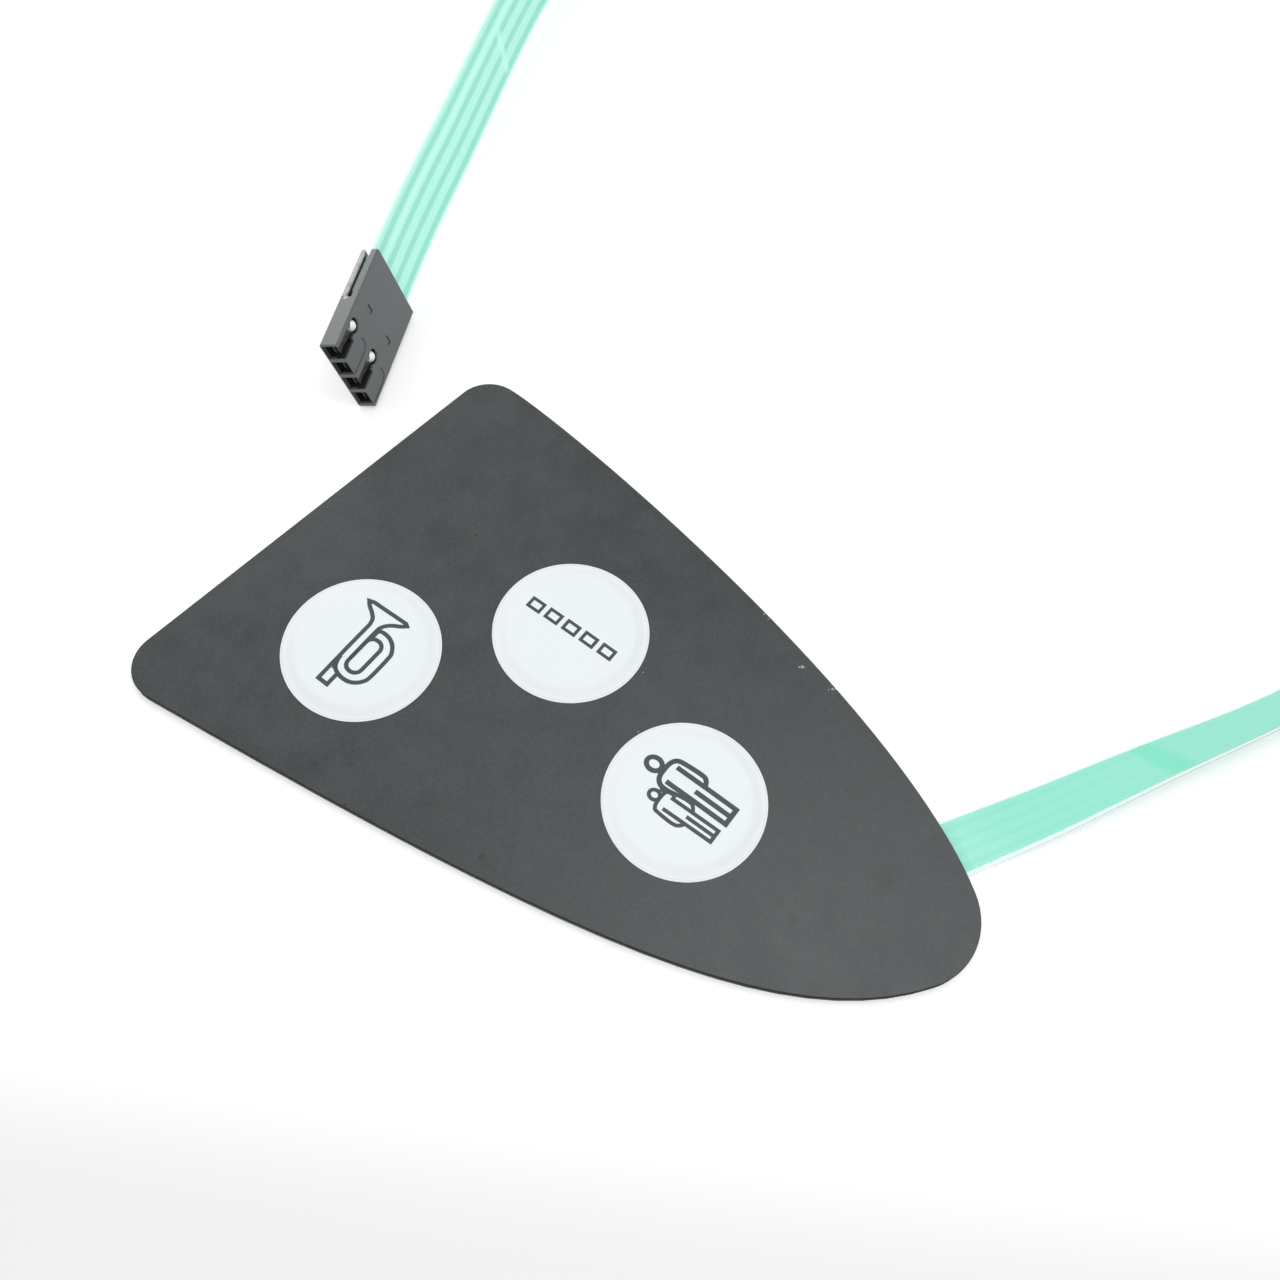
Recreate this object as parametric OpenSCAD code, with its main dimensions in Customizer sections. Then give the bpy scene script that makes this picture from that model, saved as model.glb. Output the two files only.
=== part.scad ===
// Film keypad with three raised keys, a flat film tail and a four-way film connector.
// Millimetres. The origin is under the middle of the panel, on the face that it is stuck down by.
// +X runs across the panel, +Y from the nose to the shoulders, +Z out of the keys.

/* [Panel outline] */
// Width of the panel across its shoulders
panel_w = 54.4; // [50:0.2:60]
// Length of the panel from the shoulders to the nose
panel_l = 86.8; // [80:0.2:94]
// Radius of the two shoulder corners
corner_r = 4.2; // [3:0.1:6]
// Radius of the rounded nose
nose_r = 7.4; // [6:0.1:9]
// How far the nose lies to the right of the middle line
nose_shift = 1.9; // [0:0.1:3]
// Fall of the top edge towards the right, in degrees
top_fall = 5.3; // [3:0.1:8]
// Angle from straight down at which the right side leaves its shoulder
right_lean = 6.2; // [3:0.2:9]
// Angle from straight down at which the left side leaves its shoulder
left_lean = 7.8; // [4:0.2:10]
// Angle from straight down at which the right side meets the nose
right_turn = 37.5; // [30:0.5:45]
// Angle from straight down at which the left side meets the nose
left_turn = 54.5; // [46:0.5:60]

/* [Keys] */
// Diameter of each white key field
key_d = 17; // [15:0.1:18]
// Width of the clear dark rim between a key field and the foot of its raised flank
flank_margin = 0.15; // [0.05:0.05:0.4]
// Width of the sloping flank round each raised key
flank_w = 1.7; // [1.2:0.1:2.4]
// Height of the raised key above the sheet
emboss_h = 0.45; // [0.3:0.05:0.7]
// Extra height in the middle of each raised key
crown_h = 0.12; // [0.05:0.01:0.2]
// Place of the horn key, across
horn_x = -9.5; // [-11:0.1:-8]
// Place of the horn key, along
horn_y = 25.1; // [24:0.1:26]
// Place of the level key, across
level_x = 5.9; // [5:0.1:7]
// Place of the level key, along
level_y = 8.9; // [8:0.1:10]
// Place of the people key, across
people_x = -2.1; // [-3:0.1:-1]
// Place of the people key, along
people_y = -12.1; // [-13:0.1:-11]

/* [Film stack] */
// Thickness of the peel-off liner
liner_t = 0.1; // [0.08:0.01:0.15]
// Thickness of the adhesive on the back
rear_adhesive_t = 0.12; // [0.08:0.01:0.2]
// Thickness of the circuit film and of its tail
film_t = 0.18; // [0.14:0.01:0.22]
// Thickness of the printed conductors
print_t = 0.02; // [0.01:0.005:0.03]
// Thickness of the spacer that forms the dome pockets
spacer_t = 0.3; // [0.25:0.01:0.4]
// Thickness of the film that holds the domes in their pockets
retainer_t = 0.1; // [0.08:0.01:0.15]
// Thickness of the adhesive under the overlay
overlay_adhesive_t = 0.08; // [0.05:0.01:0.12]
// Thickness of the printed overlay
overlay_t = 0.22; // [0.18:0.01:0.3]

/* [Snap domes] */
// Diameter of each metal dome
dome_d = 12; // [10:0.1:12.4]
// Height of each dome over its foot
dome_h = 0.42; // [0.35:0.01:0.5]
// Sheet thickness of the domes
dome_t = 0.1; // [0.08:0.01:0.12]
// Width of the flat foot of a dome
dome_foot_w = 0.5; // [0.3:0.05:0.8]
// Clearance round a dome in its pocket
pocket_gap = 0.3; // [0.2:0.05:0.5]
// Diameter of the retainer opening over a dome's crown
crown_hole_d = 9; // [8.5:0.1:9.4]
// Width of the air channels between the pockets
vent_w = 1.2; // [0.8:0.1:1.6]

/* [Printed conductors] */
// Diameter of the contact pad under each dome
pad_d = 4; // [3:0.1:5]
// Width of the contact ring that carries a dome's foot
ring_w = 1; // [0.8:0.05:1.2]
// Width of the opening in each ring that lets the pad's track out
ring_gap = 2; // [1.6:0.1:2.6]
// Width of a printed track
track_w = 0.6; // [0.4:0.05:0.8]

/* [Film tail] */
// Width of the tail where it leaves the panel
tail_w = 6; // [5.4:0.1:6.6]
// Spacing of the four tracks where the tail leaves the panel
exit_pitch = 1.35; // [1.2:0.05:1.5]
// Length along the tail at which it has turned up on edge by two thirds
turn_length = 41; // [30:1:60]
// Angle at which the tail and the connector lean back from flat
stand_angle = 72.7; // [65:0.1:80]

/* [Connector] */
// Spacing of the contacts
pitch = 2.54; // [2.5:0.01:2.58]
// Extra width of the connector outside its outer contacts' spaces
conn_side = 0.12; // [0.1:0.02:0.3]
// Distance of the film's edges from the connector's sides
film_inset = 0.25; // [0.2:0.05:0.5]
// Length of the connector
conn_l = 15; // [14.6:0.1:15.6]
// Depth from the film's middle to the visible face
conn_front_t = 1.25; // [1.2:0.05:1.4]
// Depth from the film's middle to the back face
conn_back_t = 1.15; // [1.1:0.05:1.3]
// Length of the clamped rear part
clamp_l = 7.6; // [7.4:0.1:7.8]
// Clearance between the film and the plate that presses on it
press_gap = 0.02; // [0.01:0.01:0.05]
// Depth of the bevel on the connector's rear edges, where the film enters
entry_l = 1; // [0.6:0.1:1.4]
// Height of that bevel
entry_h = 0.3; // [0.1:0.05:0.35]
// Width of the rebate that opens the gap between the two halves along their sides
rebate_w = 0.4; // [0.2:0.05:0.5]
// Height of that rebate
rebate_h = 0.22; // [0.1:0.02:0.3]
// Bevel along the connector's long edges
bevel = 0.2; // [0.1:0.05:0.3]
// Width of a contact cavity
cavity_w = 1.7; // [1.5:0.05:1.8]
// Height of a contact cavity
cavity_h = 1.5; // [1.4:0.05:1.6]
// Width of the inspection slots in the visible face
slot_w = 1.1; // [0.9:0.05:1.3]
// Diameter of the round holes that end the inspection slots
sight_d = 1.8; // [1.6:0.05:1.9]
// Distance of those holes from the mating face
sight_back = 4.2; // [4:0.1:4.6]
// Width of the open windows at the mating end, in front of the slots
window_w = 1.9; // [1.7:0.05:2]
// Length of those windows
window_l = 2.7; // [2.2:0.1:3]
// Clearance round the cover's latch posts and its film
fit_gap = 0.08; // [0.05:0.01:0.1]
// Sheet thickness of the contacts
contact_t = 0.15; // [0.12:0.01:0.18]
// Width of a contact's flat tail
contact_w = 1.1; // [1:0.05:1.2]
// Width of its sprung front part
spring_w = 1.5; // [1.4:0.05:1.6]
// Diameter of the button pressed up on a contact, seen through its inspection hole
button_d = 1.4; // [1.2:0.05:1.5]
// Height of that button
button_h = 0.3; // [0.24:0.02:0.34]

/* [Hidden] */
$fn = 64;

// Number of contacts and of tracks
ways = 4;
first_way = -pitch * (ways - 1) / 2;

// Heights of the films, from the face that the panel is stuck down by
adhesive_z = liner_t;
film_z = adhesive_z + rear_adhesive_t;
print_z = film_z + film_t;
spacer_z = print_z + print_t;
retainer_z = spacer_z + spacer_t;
overlay_adhesive_z = retainer_z + retainer_t;
overlay_z = overlay_adhesive_z + overlay_adhesive_t;

// Keys
key_r = key_d / 2;
flank_r = key_r - flank_margin;
crown_r = flank_r - flank_w;
horn_at = [horn_x, horn_y];
level_at = [level_x, level_y];
people_at = [people_x, people_y];
keys = [horn_at, level_at, people_at];
pocket_d = dome_d + 2 * pocket_gap;
ring_d = dome_d + ring_w / 2;
// Directions in which the pads' tracks leave their rings, in degrees
pad_exits = [0, 0, -90];

// Points on the outline, by direction
function along(a) = [cos(a), sin(a)];
function arc(centre, r, from, to, n) = [for (i = [0:n]) centre + r * along(from + (to - from) * i / n)];
function cubic(a, b, c, d, t) =
    pow(1 - t, 3) * a + 3 * pow(1 - t, 2) * t * b + 3 * (1 - t) * t * t * c + pow(t, 3) * d;
function curve(a, b, c, d, n) = [for (i = [1:n - 1]) cubic(a, b, c, d, i / n)];

// Shares of the panel's length that the handles of the two long curves take
right_handles = [0.06, 0.26];
left_handles = [0.6, 0.18];

left_centre = [-panel_w / 2 + corner_r, panel_l / 2 - corner_r];
right_centre = [panel_w / 2 - corner_r, left_centre[1] - (panel_w - 2 * corner_r) * tan(top_fall)];
nose_centre = [nose_shift, -panel_l / 2 + nose_r];
top_normal = 90 - top_fall;
right_start = right_centre + corner_r * along(right_lean);
right_end = nose_centre + nose_r * along(-right_turn);
left_start = left_centre + corner_r * along(180 + left_lean);
left_end = nose_centre + nose_r * along(180 + left_turn);
side_steps = 20;
corner_steps = 8;
nose_steps = 14;
outline = concat(
    arc(left_centre, corner_r, 180 + left_lean, top_normal, corner_steps),
    arc(right_centre, corner_r, top_normal, right_lean, corner_steps),
    curve(right_start, right_start + right_handles[0] * panel_l * along(right_lean - 90),
          right_end - right_handles[1] * panel_l * along(-right_turn - 90), right_end, side_steps),
    arc(nose_centre, nose_r, -right_turn, left_turn - 180, nose_steps),
    curve(left_end, left_end + left_handles[1] * panel_l * along(left_turn + 90),
          left_start - left_handles[0] * panel_l * along(left_lean + 90), left_start, side_steps));

// Route of the tail's middle line on the table, from the panel to the connector's rear
route = [[11.5, -37.1], [14.8, -39.1], [19.6, -42], [27, -46.2], [32.4, -49.3], [37.8, -52.5],
         [43.4, -55.7], [49, -58.4], [55, -59.4], [61, -58], [70, -54.3], [82, -49.2], [96, -43.3],
         [112, -36.5], [128, -30.6], [144.5, -25.2], [160, -19], [171, -7.8], [176, 7], [175.5, 22.5],
         [169.5, 37], [159, 49.5], [145.5, 61], [130.5, 71], [115, 79], [100, 81.5], [89, 79.8], [77, 75.6],
         [65, 70.7], [53, 65.7], [44, 62], [36, 58.5], [28, 54.8]];
steps_each = 2;
exit_yaw = atan2(route[1][1] - route[0][1], route[1][0] - route[0][0]);
last = len(route) - 1;
end_yaw = atan2(route[last][1] - route[last - 1][1], route[last][0] - route[last - 1][0]);
// Distances along the tail between which it widens to the connector's width
widen_from = 150;
widen_to = 185;
// Length over which the tail settles to the table after the panel, and rises to the connector
settle_l = 14;
rise_l = 30;
// Length of tail that the connector grips
gripped_l = 6.4;
// Length of tab that carries the tail past the panel's edge
tab_back = 9;

// A smooth curve through the route's points, and the distance along it
function before(i) = i == 0 ? 2 * route[0] - route[1] : route[i - 1];
function after(i) = i + 2 > last ? 2 * route[last] - route[last - 1] : route[i + 2];
function through(i, t) =
    0.5 * (2 * route[i] + (route[i + 1] - before(i)) * t
    + (2 * before(i) - 5 * route[i] + 4 * route[i + 1] - after(i)) * t * t
    + (3 * route[i] - before(i) - 3 * route[i + 1] + after(i)) * t * t * t);
middle = concat([for (i = [0:last - 1]) for (k = [0:steps_each - 1]) through(i, k / steps_each)],
                [route[last], route[last] + gripped_l * along(end_yaw)]);
rings = len(middle);
distance = [for (i = 0, s = 0; i < rings; i = i + 1,
                 s = s + (i < rings ? norm(middle[i] - middle[i - 1]) : 0)) s];
mouth_at = distance[rings - 2];
heading = [for (i = [0:rings - 1])
    i == 0 ? along(exit_yaw) : i >= rings - 2 ? along(end_yaw)
    : (middle[i + 1] - middle[i - 1]) / norm(middle[i + 1] - middle[i - 1])];

// Turn, width and height of the tail at a distance along it
function ease(a, b, s) = let (t = min(1, max(0, (s - a) / (b - a)))) t * t * (3 - 2 * t);
function turn_share(s) = 1 - exp(-s / turn_length);
function turned(s) = stand_angle * turn_share(min(s, mouth_at)) / turn_share(mouth_at);
function width(s) = tail_w + (tail_end_w - tail_w) * ease(widen_from, widen_to, s);
conn_w = ways * pitch + 2 * conn_side;
tail_end_w = conn_w - 2 * film_inset;
exit_z = film_z + film_t / 2;
conn_z = conn_w / 2 * sin(stand_angle) + conn_back_t * cos(stand_angle);
end_lift = conn_z - tail_end_w / 2 * sin(stand_angle);
function lift(s) = film_t / 2 + (exit_z - film_t / 2) * (1 - ease(0, settle_l, s))
    + (end_lift - film_t / 2) * ease(mouth_at - rise_l, mouth_at, s);
function centre(i) =
    [middle[i][0], middle[i][1], lift(distance[i]) + width(distance[i]) / 2 * sin(turned(distance[i]))];
// Directions across the tail, towards its raised edge, and out of its upper face
function raised(i) = let (h = heading[i], a = turned(distance[i])) [h[1] * cos(a), -h[0] * cos(a), sin(a)];
function upper(i) = let (h = heading[i], a = turned(distance[i])) [-h[1] * sin(a), h[0] * sin(a), cos(a)];
function ring(i) = let (c = centre(i), u = raised(i) * width(distance[i]) / 2, m = upper(i) * film_t / 2)
    [c - u - m, c + u - m, c + u + m, c - u + m];

// Connector
cavity_low = -cavity_h / 2;
plate_low = film_t / 2 + press_gap;
contact_low = -film_t / 2 - contact_t;
latch_w = 1;
latch_l = 0.6;
latch_x = 7.05;
latch_ways = [0.5, 2.5];
relief_depth = 0.1;
blade_top = cavity_h / 2 - fit_gap;
relief_back = sight_back - 0.7;
cavity_back = clamp_l + 0.3;
lead_in = 0.2;

module plate(z, t) {
    translate([0, 0, z]) linear_extrude(t) polygon(outline);
}

module at_keys() {
    for (at = keys) translate([at[0], at[1], 0]) children();
}

// Height of a raised key over the sheet at a distance from its middle: a low crown, then the flank
function key_rise(r) = r < crown_r ? emboss_h + crown_h * (1 - pow(r / crown_r, 2))
    : emboss_h * (1 + cos(180 * (r - crown_r) / flank_w)) / 2;
key_steps = concat([for (i = [0:3]) crown_r * i / 4], [for (i = [0:8]) crown_r + flank_w * i / 8]);
key_skin = [for (r = key_steps) [r, key_rise(r)]];

// A raised key, pressed up from the sheet's own thickness, with a lip that joins it to the sheet
module raised_key(lip) {
    rotate_extrude() polygon(concat(
        [for (p = key_skin) p + [0, overlay_t]], [[flank_r + lip, overlay_t], [flank_r + lip, 0]],
        [for (i = [len(key_skin) - 1:-1:0]) key_skin[i]]));
}

// The printed overlay: one film, dark with white key fields, raised at the keys
module graphic_overlay() {
    lip = 0.1;
    color([0.32, 0.345, 0.35]) {
        difference() {
            plate(overlay_z, overlay_t);
            at_keys() translate([0, 0, overlay_z - 1]) cylinder(r = flank_r, h = 2);
        }
        at_keys() translate([0, 0, overlay_z]) raised_key(lip);
    }
}

module overlay_adhesive() {
    color([0.85, 0.85, 0.8]) difference() {
        plate(overlay_adhesive_z, overlay_adhesive_t);
        at_keys() translate([0, 0, overlay_adhesive_z - 1]) cylinder(r = crown_r, h = 2);
    }
}

module dome_retainer() {
    color([0.8, 0.85, 0.88]) difference() {
        plate(retainer_z, retainer_t);
        at_keys() translate([0, 0, retainer_z - 1]) cylinder(d = crown_hole_d, h = 2);
    }
}

// A straight strip between two points on the table
module strip(a, b, w, z, t) {
    d = b - a;
    translate([a[0], a[1], z]) rotate([0, 0, atan2(d[1], d[0])])
        translate([0, -w / 2, 0]) cube([norm(d), w, t]);
}

module dome_spacer() {
    color([0.9, 0.9, 0.86]) difference() {
        plate(spacer_z, spacer_t);
        at_keys() translate([0, 0, spacer_z - 1]) cylinder(d = pocket_d, h = 2);
        strip(horn_at, level_at, vent_w, spacer_z - 1, 2);
        strip(level_at, people_at, vent_w, spacer_z - 1, 2);
    }
}

// A snap dome: a flat foot and a low spherical crown, pressed from thin sheet
dome_foot_r = dome_d / 2 - dome_foot_w;
dome_rise = dome_h - dome_t;
function dome_curve(n, up) =
    [for (i = [0:n]) [dome_foot_r * (1 - i / n), up + dome_rise * (1 - pow(1 - i / n, 2))]];
module snap_dome(at) {
    color([0.78, 0.78, 0.76]) translate([at[0], at[1], spacer_z]) rotate_extrude()
        polygon(concat([[dome_d / 2, 0], [dome_d / 2, dome_t]], dome_curve(10, dome_t),
                       [for (p = [10:-1:0]) dome_curve(10, 0)[p]]));
}

module horn_dome() {
    snap_dome(horn_at);
}

module level_dome() {
    snap_dome(level_at);
}

module people_dome() {
    snap_dome(people_at);
}

// Printed conductors: a pad and an open ring under each dome, and four tracks to the tail.
// Way 0 is common to the rings, and each later one turns onto the tail a little further along.
turn_in = 7;
turn_step = 1.6;
function tail_way(k, back) =
    route[0] - back * along(exit_yaw) + (k - (ways - 1) / 2) * exit_pitch * along(exit_yaw + 90);
function onto_tail(k) = [tail_way(k, turn_in - k * turn_step), tail_way(k, track_w / 2)];
side_run_x = level_x + ring_d / 2 + 1.5;
side_gap = 1.5;
run_end_y = people_y - 8;
horn_track = concat([horn_at, [side_run_x, horn_y], [side_run_x + side_gap, horn_y - side_gap],
                     [side_run_x + side_gap, run_end_y]], onto_tail(3));
level_track = concat([level_at, [side_run_x, level_y], [side_run_x, run_end_y]], onto_tail(2));
people_track = concat([people_at, people_at - [0, ring_d / 2 + 5]], onto_tail(1));
common_track = concat([horn_at - [0, ring_d / 2], [horn_x, level_y], [horn_x, people_y],
                       people_at - [ring_d / 2 - 1, ring_d / 2 + 5]], onto_tail(0));
level_link = [level_at - [ring_d / 2, 0], [horn_x, level_y]];
people_link = [people_at - [ring_d / 2, 0], [horn_x, people_y]];

module track(points) {
    for (i = [0:len(points) - 2]) strip(points[i], points[i + 1], track_w, print_z, print_t);
    for (p = points) translate([p[0], p[1], print_z]) cylinder(d = track_w, h = print_t, $fn = 16);
}

module contact_ring(at, opening) {
    translate([at[0], at[1], print_z]) difference() {
        cylinder(d = ring_d, h = print_t);
        translate([0, 0, -1]) cylinder(d = ring_d - 2 * ring_w, h = 3);
        rotate([0, 0, opening]) translate([0, -ring_gap / 2, -1]) cube([ring_d, ring_gap, 3]);
    }
}

module printed_circuit() {
    color([0.7, 0.71, 0.72]) {
        for (i = [0:2]) contact_ring(keys[i], pad_exits[i]);
        at_keys() translate([0, 0, print_z]) cylinder(d = pad_d, h = print_t);
        track(horn_track);
        track(level_track);
        track(people_track);
        track(common_track);
        track(level_link);
        track(people_link);
    }
}

// The circuit film, with the tab that the tail carries on from
module circuit_film() {
    color([0.62, 0.88, 0.8]) {
        plate(film_z, film_t);
        strip(route[0] - tab_back * along(exit_yaw), route[0], tail_w, film_z, film_t);
    }
}

module rear_adhesive() {
    color([0.88, 0.88, 0.84]) plate(adhesive_z, rear_adhesive_t);
}

module release_liner() {
    color([0.95, 0.94, 0.9]) plate(0, liner_t);
}

// The tail: a flat film that turns up on its edge and runs round to the connector
module film_tail() {
    sides = 4;
    points = [for (i = [0:rings - 1]) each ring(i)];
    // The film's two faces are split along the same diagonal, so that they stay parallel in a turn
    walls = [for (i = [0:rings - 2]) for (k = [0:sides - 1])
        let (a = i * sides + k, b = i * sides + (k + 1) % sides)
        each k == 2 ? [[a, b, a + sides], [b, b + sides, a + sides]]
                    : [[a, b, b + sides], [a, b + sides, a + sides]]];
    start = [for (k = [sides - 1:-1:0]) k];
    end = [for (k = [0:sides - 1]) (rings - 1) * sides + k];
    color([0.6, 0.9, 0.82]) polyhedron(points, concat(walls, [start, end]), convexity = 10);
}

// Puts the connector at the end of the tail: x to its mating face, z out of its visible face
module at_tail_end() {
    translate([route[last][0], route[last][1], conn_z]) rotate([-stand_angle, 0, end_yaw]) children();
}

// A bar along x whose section is a rectangle with small bevels at its four edges
module bevelled_bar(from, to, low, high, w, cut) {
    translate([from, 0, 0]) rotate([90, 0, 90]) linear_extrude(to - from) polygon([
        [-w / 2 + cut, low], [w / 2 - cut, low], [w / 2, low + cut], [w / 2, high - cut],
        [w / 2 - cut, high], [-w / 2 + cut, high], [-w / 2, high - cut], [-w / 2, low + cut]]);
}

function way_y(k) = first_way + k * pitch;

// Rounded profile of a contact's button, from its foot to its crown
button_steps = 6;
button_skin = [for (i = [0:button_steps])
    [button_d / 2 * cos(90 * i / button_steps), button_h * sin(90 * i / button_steps)]];

// A wedge across the connector's rear that bevels an inner edge, from the height z towards up
module entry_bevel(z, up) {
    translate([0, conn_w, 0]) rotate([90, 0, 0]) linear_extrude(2 * conn_w) polygon(
        [[-1, z - up], [-1, z + up * entry_h], [0, z + up * entry_h], [entry_l, z], [entry_l, z - up]]);
}

module connector_housing() {
    color([0.16, 0.165, 0.17]) at_tail_end() difference() {
        union() {
            bevelled_bar(0, conn_l, plate_low, conn_front_t, conn_w, bevel);
            bevelled_bar(clamp_l, conn_l, -conn_back_t, conn_front_t, conn_w, bevel);
        }
        entry_bevel(plate_low, 1);
        for (side = [-1, 1]) translate([-1, side * (conn_w / 2 - rebate_w / 2) - rebate_w / 2 - 0.01, 0])
            cube([clamp_l + 1, rebate_w + 0.02, plate_low + rebate_h]);
        for (k = [0:ways - 1]) translate([0, way_y(k), 0]) {
            translate([clamp_l - 1, -cavity_w / 2, cavity_low]) cube([conn_l, cavity_w, cavity_h]);
            // Bevelled entry for the pin
            translate([conn_l - lead_in, 0, 0]) rotate([0, 90, 0]) rotate([0, 0, 45])
                cylinder(d1 = cavity_w * sqrt(2), d2 = (cavity_w + 2 * lead_in) * sqrt(2),
                         h = lead_in + 0.01, $fn = 4);
        }
        // Inspection slots over the first and the third contact, from a round hole to an open window
        for (k = [0, 2]) translate([conn_l - sight_back, way_y(k), 0]) {
            cylinder(d = sight_d, h = conn_front_t + 1, $fn = 32);
            translate([0, -slot_w / 2, 0]) cube([conn_l, slot_w, conn_front_t + 1]);
            translate([sight_back - window_l, -window_w / 2, 0])
                cube([conn_l, window_w, conn_front_t + 1]);
        }
        // Shallow round-ended reliefs over the other two, and blind pockets for their buttons
        for (k = [1, 3]) {
            translate([conn_l - relief_back, way_y(k), conn_front_t - relief_depth]) {
                cylinder(d = sight_d, h = 1, $fn = 32);
                translate([0, -sight_d / 2, 0]) cube([conn_l, sight_d, 1]);
            }
            translate([conn_l - sight_back, way_y(k), 0])
                cylinder(d = button_d + 2 * fit_gap, h = blade_top + button_h + fit_gap / 2, $fn = 32);
        }
        for (k = latch_ways) translate([latch_x, way_y(k), 0])
            translate([-latch_l / 2 - fit_gap, -latch_w / 2 - fit_gap, -1])
                cube([latch_l + 2 * fit_gap, latch_w + 2 * fit_gap, conn_front_t + 2]);
    }
}

// The cover that presses the film and the contacts' tails against the housing
module connector_cover() {
    color([0.13, 0.135, 0.14]) at_tail_end() difference() {
        union() {
            bevelled_bar(0, clamp_l - fit_gap, -conn_back_t, contact_low, conn_w, bevel);
            for (k = latch_ways) translate([latch_x - latch_l / 2, way_y(k) - latch_w / 2, contact_low - 0.1])
                cube([latch_l, latch_w, conn_front_t - relief_depth - contact_low + 0.1]);
        }
        entry_bevel(contact_low, -1);
    }
}

// A contact: a tail under the film, a riser, and a sprung blade over a fixed one, with a button
// pressed up on the blade
module contact(k) {
    back = cavity_back;
    tip = conn_l - 0.7;
    pinch = tip - 1.2;
    button_at = conn_l - sight_back;
    bend = button_at + button_d / 2 + 0.1;
    color([0.8, 0.8, 0.79]) at_tail_end() translate([0, way_y(k), 0]) {
        translate([1.1, -contact_w / 2, contact_low]) cube([back - 1.1, contact_w, contact_t]);
        translate([0, spring_w / 2, 0]) rotate([90, 0, 0]) linear_extrude(spring_w) polygon([
            [back, contact_low], [tip, contact_low], [tip, contact_low + contact_t],
            [back + contact_t, contact_low + contact_t], [back + contact_t, blade_top - contact_t],
            [bend, blade_top - contact_t], [pinch, contact_low + 2.5 * contact_t],
            [tip, contact_low + 3.5 * contact_t], [tip, contact_low + 4.5 * contact_t],
            [pinch, contact_low + 3.5 * contact_t], [bend, blade_top], [back, blade_top]]);
        translate([button_at, 0, blade_top]) rotate_extrude() polygon(concat(
            [[0, -contact_t / 2], [button_d / 2, -contact_t / 2]], button_skin));
    }
}

module contact_1() {
    contact(0);
}

module contact_2() {
    contact(1);
}

module contact_3() {
    contact(2);
}

module contact_4() {
    contact(3);
}

graphic_overlay();
overlay_adhesive();
dome_retainer();
dome_spacer();
horn_dome();
level_dome();
people_dome();
printed_circuit();
circuit_film();
rear_adhesive();
release_liner();
film_tail();
connector_housing();
connector_cover();
contact_1();
contact_2();
contact_3();
contact_4();
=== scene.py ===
"""Looks of a three-key film keypad, its flat film tail and the connector crimped on it.

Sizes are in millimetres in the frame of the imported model, whose origin lies under the middle of
the panel. They become metres where a mesh is written.
"""

import logging
import math
from collections.abc import Callable, Sequence
from dataclasses import dataclass, field
from enum import Enum
from functools import partial

import bmesh
import bpy
from mathutils import Matrix, Vector
from mathutils.geometry import delaunay_2d_cdt

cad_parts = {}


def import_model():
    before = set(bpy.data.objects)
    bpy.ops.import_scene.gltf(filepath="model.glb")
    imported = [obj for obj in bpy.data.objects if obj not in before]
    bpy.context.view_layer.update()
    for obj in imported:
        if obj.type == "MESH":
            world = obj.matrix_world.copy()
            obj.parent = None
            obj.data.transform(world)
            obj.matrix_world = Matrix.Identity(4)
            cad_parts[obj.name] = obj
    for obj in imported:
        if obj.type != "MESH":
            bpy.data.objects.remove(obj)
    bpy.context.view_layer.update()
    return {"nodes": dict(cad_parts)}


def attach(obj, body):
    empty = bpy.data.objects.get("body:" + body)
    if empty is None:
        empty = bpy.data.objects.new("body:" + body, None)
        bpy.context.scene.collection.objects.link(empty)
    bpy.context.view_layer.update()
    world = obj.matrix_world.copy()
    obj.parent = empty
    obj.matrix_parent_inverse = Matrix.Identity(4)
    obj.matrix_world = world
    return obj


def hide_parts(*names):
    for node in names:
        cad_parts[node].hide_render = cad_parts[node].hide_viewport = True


MM = 0.001
TINY = 1e-6
BODY = "root"
SHADER, GEOMETRY = "ShaderNodeTree", "GeometryNodeTree"
log = logging.getLogger("keypad")

Point = tuple[float, float]
Place = tuple[float, float, float]
Color = tuple[float, float, float, float]
Material = bpy.types.Material
Node = bpy.types.Node
Piece = bpy.types.Object
Shape = bmesh.types.BMesh
Tree = bpy.types.NodeTree

WHITE: Color = (1, 1, 1, 1)
BLACK: Color = (0, 0, 0, 1)


def channel(value: int) -> float:
    """Returns one channel of a screen colour in linear light."""
    share = value / 255
    return share / 12.92 if share <= 0.04045 else ((share + 0.055) / 1.055) ** 2.4


def linear(red: int, green: int, blue: int) -> Color:
    """Returns the linear colour of a screen colour given from 0 to 255."""
    return channel(red), channel(green), channel(blue), 1


def arithmetic(operation: str) -> Callable[["Term", "Value"], "Term"]:
    """Returns a method that adds one arithmetic node to a term's tree."""
    return lambda term, other=0.0: term.graph.math(operation, term, other)


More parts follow.
